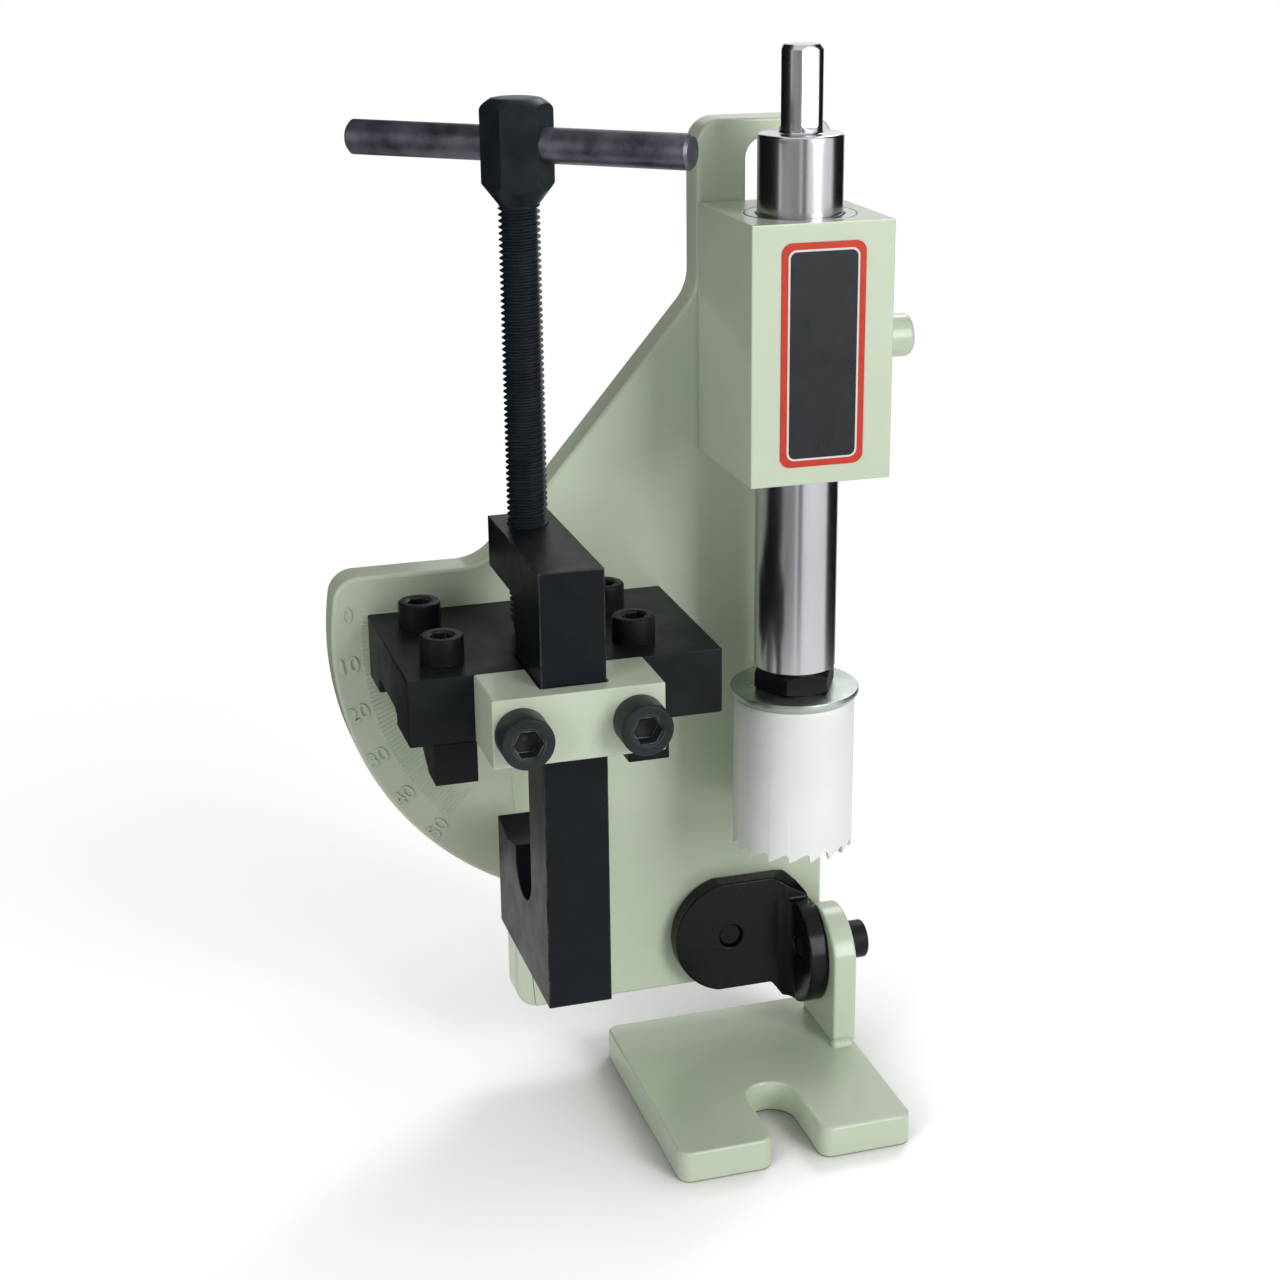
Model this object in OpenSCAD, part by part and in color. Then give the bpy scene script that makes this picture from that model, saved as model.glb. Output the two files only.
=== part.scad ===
// Hole saw tube notcher: a plate on a two-way knuckle carries a swinging tube vise and a spindle block.
// X runs to the right, Y to the back and Z up. The origin is under the middle of the base plate.

/* [Base] */
// Width of the base plate, left to right
base_w = 77; // [72:1:90]
// Depth of the base plate, front to back
base_d = 85; // [80:1:100]
// Thickness of the base plate
base_t = 10.5; // [8:0.5:13]
// Radius of the base plate's upright corners
base_corner_r = 4; // [1:0.5:6]
// Width of the bench bolt slot
bench_slot_w = 16; // [12:0.5:20]
// Length of the bench bolt slot from the front edge
bench_slot_len = 33; // [24:1:40]
// Height of the tilt bolt above the bench
tilt_z = 40.2; // [38:0.1:46]
// How far the plate's front face stands ahead of the base's back edge
plate_set = 6; // [3:0.5:9]
// Thickness of the welded ear
ear_t = 8; // [6:0.5:9]
// Depth of the ear, front to back
ear_d = 29; // [26:0.5:31]
// Height of the ear above the tilt bolt
ear_rise = 13.8; // [9:0.1:16]
// Height of the arc in front of the crown of the ear
ear_crown_h = 12.5; // [8:0.5:14]
// Distance from the ear's back face to the top of its arc
ear_crown_set = 12; // [11.5:0.5:13]
// Gap between the ear and the plate behind it
ear_gap = 1; // [0.5:0.1:2]

/* [Knuckle] */
// Thickness of the knuckle bracket
knuckle_t = 6.5; // [5:0.5:9]
// Height of the knuckle's back flange
knuckle_h = 39; // [34:0.5:44]
// Height of the swivel bolt above the tilt bolt
knuckle_rise = 3.9; // [0:0.1:5]
// Height of the knuckle's side tongue
tongue_h = 35.5; // [30:0.5:38]
// Depth of the tongue's middle below the tilt bolt
tongue_drop = 3.3; // [0:0.1:5]
// Reach of the tongue ahead of the plate
knuckle_reach = 26; // [24:0.5:30]
// Excess of the knuckle's end radii over half of its heights
end_excess = 0.6; // [0.3:0.1:1]
// Inside radius of the knuckle's bend
knuckle_bend_r = 5; // [2:0.5:8]
// Distance from the plate's face to the tilt bolt
tilt_gap = 14; // [12:0.5:15]
// Distance from the ear's inner face to the swivel bolt
swivel_off = 28.2; // [26:0.1:34]
// Thread diameter of the two knuckle bolts
knuckle_bolt_d = 8; // [6:0.5:10]

/* [Main plate] */
// Thickness of the main plate
plate_t = 12; // [10:0.5:14]
// Height of the main plate
plate_h = 288.5; // [280:0.5:296]
// Height of the plate's lower edge above the bench
plate_bottom = 25; // [20:0.5:28]
// Width of the plate's lower body
body_w = 107.5; // [98:0.5:116]
// Width of the plate's head
head_w = 44; // [40:0.5:50]
// Height of the head's lower end above the block's lower face
neck_rise = 50; // [40:1:60]
// Radius of the plate's outer corners
plate_corner_r = 8; // [4:0.5:10]
// Radius of the plate's two inner corners
plate_blend_r = 15; // [8:1:20]
// Radius of the quadrant's outer edge
quad_r = 97; // [94:0.5:104]
// Height of the quadrant's upper edge above the swing pivot
quad_rise = 22; // [18:0.5:26]
// Distance from the swing pivot to the foot of the sloping edge
quad_shelf = 48.5; // [42:0.5:56]
// Width of the block's height slot
height_slot_w = 12.6; // [11:0.1:14]
// Lower end of the height slot above the block's lower face
height_slot_low = 5; // [2:0.5:8]
// Upper end of the height slot above the block's lower face
height_slot_high = 95.5; // [88:0.5:97]

/* [Spindle block] */
// Distance from the base's middle to the spindle axis, to the right
tool_x = 15; // [12:0.5:16]
// Distance from the plate's face to the spindle axis
axis_gap = 30; // [28:0.5:32]
// Width of the spindle block
block_w = 44; // [42:0.5:48]
// Depth of the spindle block
block_d = 50; // [48:0.5:56]
// Height of the spindle block
block_h = 77; // [72:1:84]
// Height of the block's lower face above the bench
block_z = 212; // [208:0.5:216]
// Thread diameter of the block bolts
block_bolt_d = 10; // [8:0.5:10.5]
// Height of the lower block bolt above the block's lower face
block_bolt_low = 20; // [18:0.5:24]
// Distance between the two block bolts
block_bolt_gap = 38; // [34:0.5:40]
// Width of the plain label plate
label_w = 26; // [18:0.5:34]
// Height of the plain label plate
label_h = 66; // [50:1:70]
// Thickness of the plain label plate
label_t = 0.5; // [0.4:0.1:1]
// Diameter of the grease plug's head
plug_d = 13; // [10:0.5:16]
// Length of the grease plug's head
plug_len = 13.4; // [6:0.2:15]
// Height of the grease plug above the block's lower face
plug_rise = 38.5; // [36:0.5:44]

/* [Spindle] */
// Diameter of the spindle
spindle_d = 25.4; // [25:0.1:25.6]
// Length of the spindle's thick part
spindle_len = 164; // [150:1:170]
// Reach of the spindle's thick part below the block
spindle_drop = 64; // [58:0.5:70]
// Diameter of the drill shank
shank_d = 12.7; // [10:0.1:13]
// Length of the drill shank
shank_len = 25; // [20:0.5:32]
// Distance from the axis to each of the shank's three flats
shank_flat = 5.75; // [4.6:0.05:5.9]
// Height of the flats' lower ends above the shank's shoulder
shank_flat_rise = 1.2; // [0.8:0.1:4]
// Outer diameter of the needle bearings
bearing_d = 33.34; // [33:0.02:34]
// Length of one needle bearing
bearing_len = 25.4; // [20:0.2:26]
// Number of needles in one bearing
needle_count = 20; // [16:1:20]
// Wall of the bearing's drawn cup
cup_wall = 1.25; // [1:0.05:1.4]

/* [Hole saw] */
// Diameter across the saw's teeth
saw_d = 38.1; // [32:0.1:42]
// Length of the saw cup
saw_len = 50.5; // [40:0.5:52]
// Wall of the saw cup
saw_wall = 1.4; // [1:0.1:2]
// Thickness of the saw cup's closed end
saw_base_t = 5; // [3:0.5:7]
// Number of teeth
tooth_count = 18; // [16:1:28]
// Depth of the gullets between the teeth
tooth_depth = 2.8; // [2:0.1:4]
// Diameter of the plated flange above the cup
flange_d = 40.5; // [36:0.5:44]
// Thickness of the plated flange
flange_t = 2.9; // [2:0.1:3.5]
// Thickness of the flange's rim above its bevel
flange_rim_t = 1.7; // [1:0.1:1.9]
// Width across the arbor nut's flats
nut_af = 23; // [22:0.5:26]
// Height of the arbor nut
nut_h = 6.5; // [6:0.5:10]
// Diameter of the threaded stud that carries the saw
stud_d = 15.8; // [12:0.1:16]

/* [Tube vise] */
// Distance from the spindle axis to the swing pivot
swing_off = 43; // [40:0.5:46]
// Height of the swing pivot above the bench
swing_z = 158.5; // [155:0.5:162]
// Length of the jaw arm
arm_len = 93.6; // [90:0.1:97]
// Reach of the arm past its pivot
arm_tail = 8; // [7.5:0.1:10]
// Depth of the jaw arm
arm_d = 63; // [62:0.5:66]
// Height of the jaw arm
arm_h = 20; // [18:0.5:22]
// Width of the channel under the arm
channel_w = 28; // [24:0.5:32]
// Depth of the channel under the arm
channel_h = 4.5; // [3:0.1:5]
// Width of one V insert along the tube
insert_w = 12.5; // [10:0.5:14]
// Height of the V inserts below the arm
insert_h = 12.6; // [9:0.2:14]
// Half width of the V at its mouth
v_half = 23; // [18:0.5:23.5]
// Half angle of the V
v_angle = 60; // [56:1:68]
// Distance from the swing pivot to the middle of the right V insert
insert_near = 14.75; // [13.5:0.25:16]
// Distance from the arm's left end to the middle of the left V insert
insert_end = 13.35; // [12:0.05:14.5]
// Thread diameter of the insert screws
insert_screw_d = 8; // [6:0.5:8]
// Half the distance between an insert's two screws
insert_screw_half = 16.5; // [14:0.5:18]
// Thread diameter of the pivot and lock bolts
swing_bolt_d = 10; // [8:0.5:10.5]
// Distance from the swing pivot to the lock bolt
lock_r = 40; // [36:0.5:44]
// Largest swing angle of the vise
swing_max = 50; // [40:1:52]

/* [Clamp frame] */
// Distance from the swing pivot to the clamp frame's middle
frame_off = 41.5; // [40:0.5:43]
// Width of the clamp frame along the tube
frame_w = 19; // [17:0.5:20]
// Height of the clamp frame
frame_h = 133.5; // [130:0.5:138]
// Height of the frame's top above the arm
frame_rise = 33.5; // [30:0.5:38]
// Thickness of the frame's top bar
top_bar_t = 15.5; // [14:0.5:17]
// Depth of the post below the arm
post_d = 19; // [17:0.5:20]
// Depth of the post above the arm
post_upper_d = 30; // [26:0.5:32]
// Height of the frame's lower jaw
jaw_h = 36; // [32:0.5:40]
// Depth of the tube seat in the lower jaw
seat_depth = 2.7; // [1:0.1:4]
// Half width of the tube seat
seat_half = 11.5; // [9:0.5:11.8]
// Flat behind the tube seat, up to the frame's back
seat_land = 0.2; // [0.2:0.1:2]
// Depth of the relief groove behind the post
groove_depth = 13; // [10.5:0.5:16]
// How far the post stands ahead of the arm
post_reach = 17; // [16:0.5:18]
// Width of the retainer block
retainer_w = 50; // [46:0.5:52]
// Depth of the retainer block
retainer_d = 23; // [21:0.5:25]
// Height of the retainer block
retainer_h = 20.5; // [18:0.5:22]
// Thread diameter of the retainer screws
retainer_screw_d = 9.5; // [8:0.5:10]
// Half the distance between the retainer screws
retainer_screw_half = 17; // [16.5:0.5:18]

/* [Clamp screw] */
// Thread diameter of the clamp screw
screw_d = 12; // [10:0.5:12]
// Length of the clamp screw from its tip to its head
screw_len = 126.5; // [110:0.5:135]
// Width across the flats of the screw's head
screw_head_af = 18; // [16:0.5:19]
// Height of the screw's head with its cone
screw_head_h = 30; // [24:0.5:34]
// Diameter of the sliding bar
bar_d = 10; // [8:0.5:10]
// Length of the sliding bar
bar_len = 106; // [96:1:112]
// Turn of the bar from the tube's direction
bar_turn = 40; // [20:5:60]

/* [Hidden] */

$fn = 64;
// Overrun of every cut
over = 1;
// Clearance of a shaft that turns in a bore
run_fit = 0.05;
// Clearance of a thread in its tapped hole
thread_fit = 0.03;
// Clearance of a flat face that slides on another
slide_gap = 0.3;
// Clearance of a screw in a plain hole
hole_fit = 0.4;
// Small chamfer on turned ends
chamfer = 0.8;
// Socket head shares of the thread diameter
head_d_share = 1.6;
head_h_share = 1;
socket_share = 0.8;
socket_depth_share = 0.5;
washer_d_share = 2.2;
washer_t_share = 0.22;
// Tapped depth behind a bolt's seat
thread_depth = 11;
// Turn of the arbor nut's corners from the right
nut_turn = 15;
arc_steps = 12;
quad_steps = 48;

plate_y = base_d / 2 - plate_set;
plate_back = plate_y + plate_t;
tool_y = plate_y - axis_gap;
tilt_y = plate_y - tilt_gap;
ear_x0 = base_w / 2 - ear_t;
ear_back = plate_y - ear_gap;
swivel_x = ear_x0 - swivel_off;
swivel_z = tilt_z + knuckle_rise;
tongue_z = tilt_z - tongue_drop;
flange_x1 = ear_x0 - slide_gap;
flange_x0 = flange_x1 - knuckle_t;
flange_y1 = plate_y - slide_gap;
flange_y0 = flange_y1 - knuckle_t;
plate_right = tool_x + head_w / 2;
plate_left = plate_right - body_w;
plate_top = plate_bottom + plate_h;
swing_x = tool_x - swing_off;
arm_back = plate_y - slide_gap;
arm_front = arm_back - arm_d;
arm_top = swing_z + arm_h / 2;
arm_bottom = swing_z - arm_h / 2;
arm_mid = (arm_back + arm_front) / 2;
insert_right_x = swing_x - insert_near;
arm_left = swing_x + arm_tail - arm_len;
insert_left_x = arm_left + insert_end;
insert_bottom = arm_bottom - insert_h;
channel_top = arm_bottom + channel_h;
frame_x = swing_x - frame_off;
frame_front = arm_front - post_reach;
frame_back = tool_y + seat_half + seat_land;
frame_top = arm_top + frame_rise;
frame_bottom = frame_top - frame_h;
jaw_top = frame_bottom + jaw_h;
step_z = arm_bottom - slide_gap;
retainer_front = arm_front - retainer_d;
screw_tip = arm_top;
screw_head_z = screw_tip + screw_len;
bar_z = screw_head_z + screw_head_h * 17 / 30;
spindle_bottom = block_z - spindle_drop;
spindle_top = spindle_bottom + spindle_len;
nut_bottom = spindle_bottom - nut_h;
flange_bottom = nut_bottom - flange_t;
saw_bottom = flange_bottom - saw_len;
bearing_r = bearing_d / 2;
spindle_r = spindle_d / 2;
raceway_r = bearing_r - cup_wall;
needle_r = (raceway_r - spindle_r) / 2 - run_fit / 2;
needle_pitch_r = (raceway_r + spindle_r) / 2;
cage_len = bearing_len - 2 * (cup_wall + run_fit);
upper_bearing_z = block_z + block_h - bearing_len;
height_slot_r = height_slot_w / 2;
plug_x = tool_x + block_w / 2;

// Points of an arc about c, from angle a0 to a1
function arc(c, r, a0, a1, n) =
    [for (i = [0:n]) c + r * [cos(a0 + (a1 - a0) * i / n), sin(a0 + (a1 - a0) * i / n)]];
// A turn between -180 and 180 degrees
function turn(a) = a > 180 ? a - 360 : (a < -180 ? a + 360 : a);
function unit(v) = v / norm(v);
function heading(v) = atan2(v[1], v[0]);
// The arc that rounds corner p between its neighbours
function fillet(before, p, after, r) =
    let (a = unit(before - p), b = unit(after - p), half = acos(a * b) / 2,
        c = p + unit(a + b) * r / sin(half), reach = r / tan(half),
        start = heading(p + a * reach - c), end = heading(p + b * reach - c))
    arc(c, r, start, start + turn(end - start), arc_steps);
function rounded(pts, radii) =
    let (n = len(pts))
    [for (i = [0:n - 1]) each (radii[i] == 0 ? [pts[i]]
        : fillet(pts[(i + n - 1) % n], pts[i], pts[(i + 1) % n], radii[i]))];

// A shape drawn in X and Z, given its depth towards the front from y
module upright(y, depth)
    translate([0, y, 0]) rotate([90, 0, 0]) linear_extrude(depth) children();

// A shape drawn in Y and Z, given its width to the right from x
module sideways(x, width)
    translate([x, 0, 0]) rotate([90, 0, 90]) linear_extrude(width) children();

// A round bar along X from x0 to x1
module x_bar(x0, x1, y, z, r)
    translate([x0, y, z]) rotate([0, 90, 0]) cylinder(h = x1 - x0, r = r);

// A round bar along Y from y0 to y1
module y_bar(y0, y1, x, z, r)
    translate([x, y0, z]) rotate([-90, 0, 0]) cylinder(h = y1 - y0, r = r);

// A socket screw: its seat is at zero, its shank points down and its head up
module cap_screw(d, shank_len)
{
    head_h = d * head_h_share;
    head_r = d * head_d_share / 2;
    difference() {
        union() {
            cylinder(h = head_h - chamfer, r = head_r);
            translate([0, 0, head_h - chamfer])
                cylinder(h = chamfer, r1 = head_r, r2 = head_r - chamfer);
            translate([0, 0, -shank_len]) cylinder(h = shank_len + head_h / 2, r = d / 2);
        }
        translate([0, 0, head_h * (1 - socket_depth_share)])
            cylinder(h = head_h, r = d * socket_share / 2 / cos(30), $fn = 6);
    }
}

// A plain washer that lies on zero
module washer(d)
    difference() {
        cylinder(h = d * washer_t_share, r = d * washer_d_share / 2);
        translate([0, 0, -over]) cylinder(h = d, r = d / 2 + run_fit);
    }

function washer_t(d) = d * washer_t_share;

// A screw and its washer behind the plate, pointing to the front, over a hole at x and z
module back_screw(d, x, z, shank_len)
    translate([x, plate_back + slide_gap + washer_t(d), z]) rotate([-90, 0, 0])
        cap_screw(d, shank_len + washer_t(d));
module back_washer(d, x, z)
    translate([x, plate_back + slide_gap, z]) rotate([-90, 0, 0]) washer(d);

module base_plate()
    color([0.78, 0.80, 0.72]) difference() {
        linear_extrude(base_t) polygon(rounded(
            [[-base_w / 2, -base_d / 2], [-bench_slot_w / 2, -base_d / 2],
             [-bench_slot_w / 2, bench_slot_w - base_d / 2], [bench_slot_w / 2, bench_slot_w - base_d / 2],
             [bench_slot_w / 2, -base_d / 2], [base_w / 2, -base_d / 2],
             [base_w / 2, base_d / 2], [-base_w / 2, base_d / 2]],
            [for (i = [0:7]) i == 2 || i == 3 ? 0 : base_corner_r]));
        translate([-bench_slot_w / 2, -base_d / 2 + base_corner_r, -over])
            cube([bench_slot_w, bench_slot_len - bench_slot_w / 2 - base_corner_r, base_t + 2 * over]);
        translate([0, -base_d / 2 + bench_slot_len - bench_slot_w / 2, -over])
            cylinder(h = base_t + 2 * over, r = bench_slot_w / 2);
    }

// The ear's outline from the side: a wide arc in front of the crown, and a tighter one behind it that
// clears the plate as the tool tilts
function ear_outline() =
    let (front = ear_back - ear_d, run = ear_d - ear_crown_set, top = tilt_z + ear_rise,
        r = (run * run + ear_crown_h * ear_crown_h) / (2 * ear_crown_h), step = 90 / arc_steps)
    concat([[front, base_t], [ear_back, base_t]],
        arc([ear_back - ear_crown_set, top - ear_crown_set], ear_crown_set, 0, 90 - step, arc_steps - 1),
        arc([front + run, top - r], r, 90, 180 - acos(run / r), arc_steps));

module base_ear()
    color([0.78, 0.80, 0.72]) difference() {
        sideways(ear_x0, ear_t) polygon(ear_outline());
        x_bar(ear_x0 - over, base_w / 2 + over, tilt_y, tilt_z, knuckle_bolt_d / 2 + run_fit);
    }

// The knuckle's L seen from above, with its bend
function knuckle_plan() =
    let (outer_r = knuckle_bend_r + knuckle_t, left = swivel_x - knuckle_h, front = plate_y - knuckle_h)
    rounded([[left, flange_y1], [flange_x1, flange_y1], [flange_x1, front], [flange_x0, front],
        [flange_x0, flange_y0], [left, flange_y0]], [0, outer_r, 0, 0, knuckle_bend_r, 0]);

// The bracket seen along the bend's diagonal: its height falls from the back flange to the tongue
function knuckle_side() =
    let (back_low = swivel_z - knuckle_h / 2, back_high = swivel_z + knuckle_h / 2,
        low = tongue_z - tongue_h / 2, high = tongue_z + tongue_h / 2, far = swivel_off + knuckle_h,
        start = -knuckle_bend_r, low_end = -knuckle_t / 3, high_end = knuckle_t)
    [[-far, back_low], [start, back_low], [low_end, low], [far, low], [far, high], [high_end, high],
     [start, back_high], [-far, back_high]];

module knuckle_bracket()
{
    outer_r = knuckle_bend_r + knuckle_t;
    flange_r = knuckle_h / 2 + end_excess;
    tongue_r = tongue_h / 2 + end_excess;
    flange_round_x = swivel_x - knuckle_h / 2 + flange_r;
    tongue_round_y = plate_y - knuckle_reach + tongue_r;
    color([0.07, 0.08, 0.08]) difference() {
        intersection() {
            translate([0, 0, base_t]) linear_extrude(swivel_z + knuckle_h) polygon(knuckle_plan());
            translate([flange_x1 - outer_r, flange_y1 - outer_r, 0]) rotate([0, 0, -45])
                upright(swivel_off + knuckle_reach, 2 * (swivel_off + knuckle_reach)) polygon(knuckle_side());
            union() {
                y_bar(plate_y - knuckle_h, plate_y, flange_round_x, swivel_z, flange_r);
                translate([flange_round_x, plate_y - knuckle_h, base_t])
                    cube([swivel_off, knuckle_h, swivel_z + knuckle_h]);
            }
            union() {
                x_bar(swivel_x - knuckle_h, ear_x0, tongue_round_y, tongue_z, tongue_r);
                translate([swivel_x - knuckle_h, tongue_round_y, base_t])
                    cube([swivel_off + knuckle_h, knuckle_h, swivel_z + knuckle_h]);
            }
        }
        y_bar(flange_y0 - over, flange_y1 + over, swivel_x, swivel_z, knuckle_bolt_d / 2 + thread_fit);
        x_bar(flange_x0 - over, flange_x1 + over, tilt_y, tilt_z, knuckle_bolt_d / 2 + thread_fit);
    }
}

module tilt_bolt()
    color([0.12, 0.13, 0.14]) translate([base_w / 2 + slide_gap, tilt_y, tilt_z])
        rotate([0, 90, 0]) cap_screw(knuckle_bolt_d, ear_t + knuckle_t);

module swivel_bolt()
    color([0.12, 0.13, 0.14])
        back_screw(knuckle_bolt_d, swivel_x, swivel_z, plate_t + 2 * slide_gap + knuckle_t * 3 / 4);
module swivel_washer()
    color([0.3, 0.31, 0.32]) back_washer(knuckle_bolt_d, swivel_x, swivel_z);

// The main plate's outline, seen from the front
function plate_outline() =
    let (swing = [swing_x, swing_z], shelf_z = swing_z + quad_rise,
        tip_dz = quad_rise - plate_corner_r, tip_r = quad_r - plate_corner_r,
        tip = swing + [-sqrt(tip_r * tip_r - tip_dz * tip_dz), tip_dz],
        tip_angle = 180 - asin(tip_dz / tip_r), end_angle = 180 + acos((swing_x - plate_left) / quad_r),
        foot = [swing_x - quad_shelf, shelf_z], neck = [plate_right - head_w, block_z + neck_rise],
        low_left = [plate_left, plate_bottom], low_right = [plate_right, plate_bottom],
        top_right = [plate_right, plate_top], top_left = [plate_right - head_w, plate_top])
    concat(
        fillet(low_left, low_right, top_right, plate_corner_r),
        fillet(low_right, top_right, top_left, plate_corner_r),
        fillet(top_right, top_left, neck, plate_corner_r),
        fillet(top_left, neck, foot, plate_blend_r),
        fillet(neck, foot, [tip[0], shelf_z], plate_blend_r),
        arc(tip, plate_corner_r, 90, tip_angle, arc_steps),
        arc(swing, quad_r, tip_angle, end_angle, quad_steps),
        fillet([plate_left, swing_z], low_left, low_right, plate_corner_r));

// A place at radius r from the swing pivot, a degrees below level on the left
function swing_point(r, a) = [swing_x - r * cos(a), swing_z - r * sin(a)];

// The curved slot that the lock bolt runs in, from level to the largest swing
module lock_slot(r)
{
    for (a = [0, swing_max])
        y_bar(plate_y - over, plate_back + over, swing_point(lock_r, a)[0], swing_point(lock_r, a)[1], r);
    intersection() {
        difference() {
            y_bar(plate_y - over, plate_back + over, swing_x, swing_z, lock_r + r);
            y_bar(plate_y - 2 * over, plate_back + 2 * over, swing_x, swing_z, lock_r - r);
        }
        upright(plate_back + over, plate_t + 2 * over) polygon([[swing_x, swing_z],
            swing_point(2 * lock_r, 0), swing_point(2 * lock_r, swing_max / 2),
            swing_point(2 * lock_r, swing_max)]);
    }
}

module main_plate()
    color([0.72, 0.76, 0.67]) difference() {
        upright(plate_back, plate_t) polygon(plate_outline());
        y_bar(plate_y - over, plate_back + over, swivel_x, swivel_z, knuckle_bolt_d / 2 + run_fit);
        y_bar(plate_y - over, plate_back + over, swing_x, swing_z, swing_bolt_d / 2 + run_fit);
        lock_slot(swing_bolt_d / 2 + hole_fit);
        for (z = [height_slot_low + height_slot_r, height_slot_high - height_slot_r])
            y_bar(plate_y - over, plate_back + over, tool_x, block_z + z, height_slot_r);
        translate([tool_x - height_slot_r, plate_y - over, block_z + height_slot_low + height_slot_r])
            cube([height_slot_w, plate_t + 2 * over, height_slot_high - height_slot_low - height_slot_w]);
    }

module jaw_arm()
    color([0.15, 0.16, 0.17]) difference() {
        translate([arm_left, arm_front, arm_bottom]) cube([arm_len, arm_d, arm_h]);
        translate([arm_left - over, tool_y - channel_w / 2, arm_bottom - over])
            cube([arm_len + 2 * over, channel_w, channel_h + over]);
        translate([frame_x - frame_w / 2 - slide_gap, arm_front - over, arm_bottom - over])
            cube([frame_w + 2 * slide_gap, post_upper_d - post_reach + slide_gap + over, arm_h + 2 * over]);
        for (x = [insert_left_x, insert_right_x], side = [-1, 1])
            translate([x, arm_mid + side * insert_screw_half, arm_bottom - over])
                cylinder(h = arm_h + 2 * over, r = insert_screw_d / 2 + hole_fit);
        for (side = [-1, 1])
            y_bar(arm_front - over, arm_front + 2 * thread_depth, frame_x + side * retainer_screw_half,
                swing_z, retainer_screw_d / 2 + thread_fit);
        for (x = [swing_x, swing_x - lock_r])
            y_bar(arm_back - 2 * thread_depth, arm_back + over, x, swing_z, swing_bolt_d / 2 + thread_fit);
    }

// One V insert: a tongue in the arm's channel, and two legs with the V between them
module v_insert(x)
    color([0.11, 0.12, 0.13]) difference() {
        tongue = channel_w / 2 - hole_fit;
        sideways(x - insert_w / 2, insert_w) polygon([
            [arm_front, insert_bottom], [tool_y - v_half, insert_bottom],
            [tool_y, insert_bottom + v_half / tan(v_angle)], [tool_y + v_half, insert_bottom],
            [arm_back - slide_gap, insert_bottom], [arm_back - slide_gap, arm_bottom],
            [tool_y + tongue, arm_bottom], [tool_y + tongue, channel_top],
            [tool_y - tongue, channel_top], [tool_y - tongue, arm_bottom],
            [arm_front, arm_bottom]]);
        for (side = [-1, 1])
            translate([x, arm_mid + side * insert_screw_half, insert_bottom - over])
                cylinder(h = arm_h, r = insert_screw_d / 2 + thread_fit);
    }
module v_insert_left() v_insert(insert_left_x);
module v_insert_right() v_insert(insert_right_x);

// The insert screws end inside the legs, above the V's sloping faces
module insert_screws()
    color([0.14, 0.15, 0.16]) for (x = [insert_left_x, insert_right_x], side = [-1, 1])
        translate([x, arm_mid + side * insert_screw_half, arm_top])
            cap_screw(insert_screw_d, arm_h + insert_h * 3 / 10);

module bar_retainer()
    color([0.80, 0.82, 0.74]) difference() {
        translate([frame_x - retainer_w / 2, retainer_front, swing_z - retainer_h / 2])
            cube([retainer_w, retainer_d, retainer_h]);
        translate([frame_x - frame_w / 2 - slide_gap, frame_front - slide_gap, swing_z - retainer_h])
            cube([frame_w + 2 * slide_gap, retainer_d, 2 * retainer_h]);
        for (side = [-1, 1])
            y_bar(retainer_front - over, arm_front + over, frame_x + side * retainer_screw_half, swing_z,
                retainer_screw_d / 2 + hole_fit);
    }

module retainer_screws()
    color([0.16, 0.18, 0.19]) for (side = [-1, 1])
        translate([frame_x + side * retainer_screw_half, retainer_front, swing_z]) rotate([90, 0, 0])
            cap_screw(retainer_screw_d, retainer_d + thread_depth);

module pivot_bolt()
    color([0.14, 0.15, 0.16])
        back_screw(swing_bolt_d, swing_x, swing_z, plate_t + 2 * slide_gap + thread_depth);
module pivot_washer()
    color([0.3, 0.31, 0.32]) back_washer(swing_bolt_d, swing_x, swing_z);
module lock_bolt()
    color([0.14, 0.15, 0.16])
        back_screw(swing_bolt_d, swing_x - lock_r, swing_z, plate_t + 2 * slide_gap + thread_depth);
module lock_washer()
    color([0.3, 0.31, 0.32]) back_washer(swing_bolt_d, swing_x - lock_r, swing_z);

// The clamp frame's outline from the side: top bar, stepped post, lower jaw with seat and groove
function frame_outline() =
    let (post_back = frame_front + post_d, lip = tool_y - seat_half, groove_r = (lip - post_back) / 2,
        groove_c = [post_back + groove_r, jaw_top - groove_depth + groove_r])
    concat(
        [[frame_front, frame_bottom], [frame_back, frame_bottom], [frame_back, jaw_top],
         [tool_y + seat_half, jaw_top], [tool_y, jaw_top - seat_depth], [lip, jaw_top]],
        arc(groove_c, groove_r, 0, -180, 2 * arc_steps),
        [[post_back, step_z], [frame_front + post_upper_d, step_z],
         [frame_front + post_upper_d, frame_top - top_bar_t], [frame_back, frame_top - top_bar_t],
         [frame_back, frame_top], [frame_front, frame_top]]);

module clamp_frame()
    color([0.10, 0.11, 0.12]) difference() {
        sideways(frame_x - frame_w / 2, frame_w) polygon(frame_outline());
        translate([frame_x, tool_y, frame_top - top_bar_t - over])
            cylinder(h = top_bar_t + 2 * over, r = screw_d / 2 + run_fit);
    }

// A hexagonal prism on zero with turned ends: its lower and upper chamfers start at these radii
module turned_hex(af, h, low_r, low_h, high_r, high_h)
{
    full_r = af / 2 / cos(30);
    intersection() {
        cylinder(h = h, r = full_r, $fn = 6);
        union() {
            cylinder(h = low_h, r1 = low_r, r2 = full_r + over);
            translate([0, 0, low_h]) cylinder(h = h - low_h - high_h, r = full_r + over);
            translate([0, 0, h - high_h]) cylinder(h = high_h, r1 = full_r + over, r2 = high_r);
        }
    }
}

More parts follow.
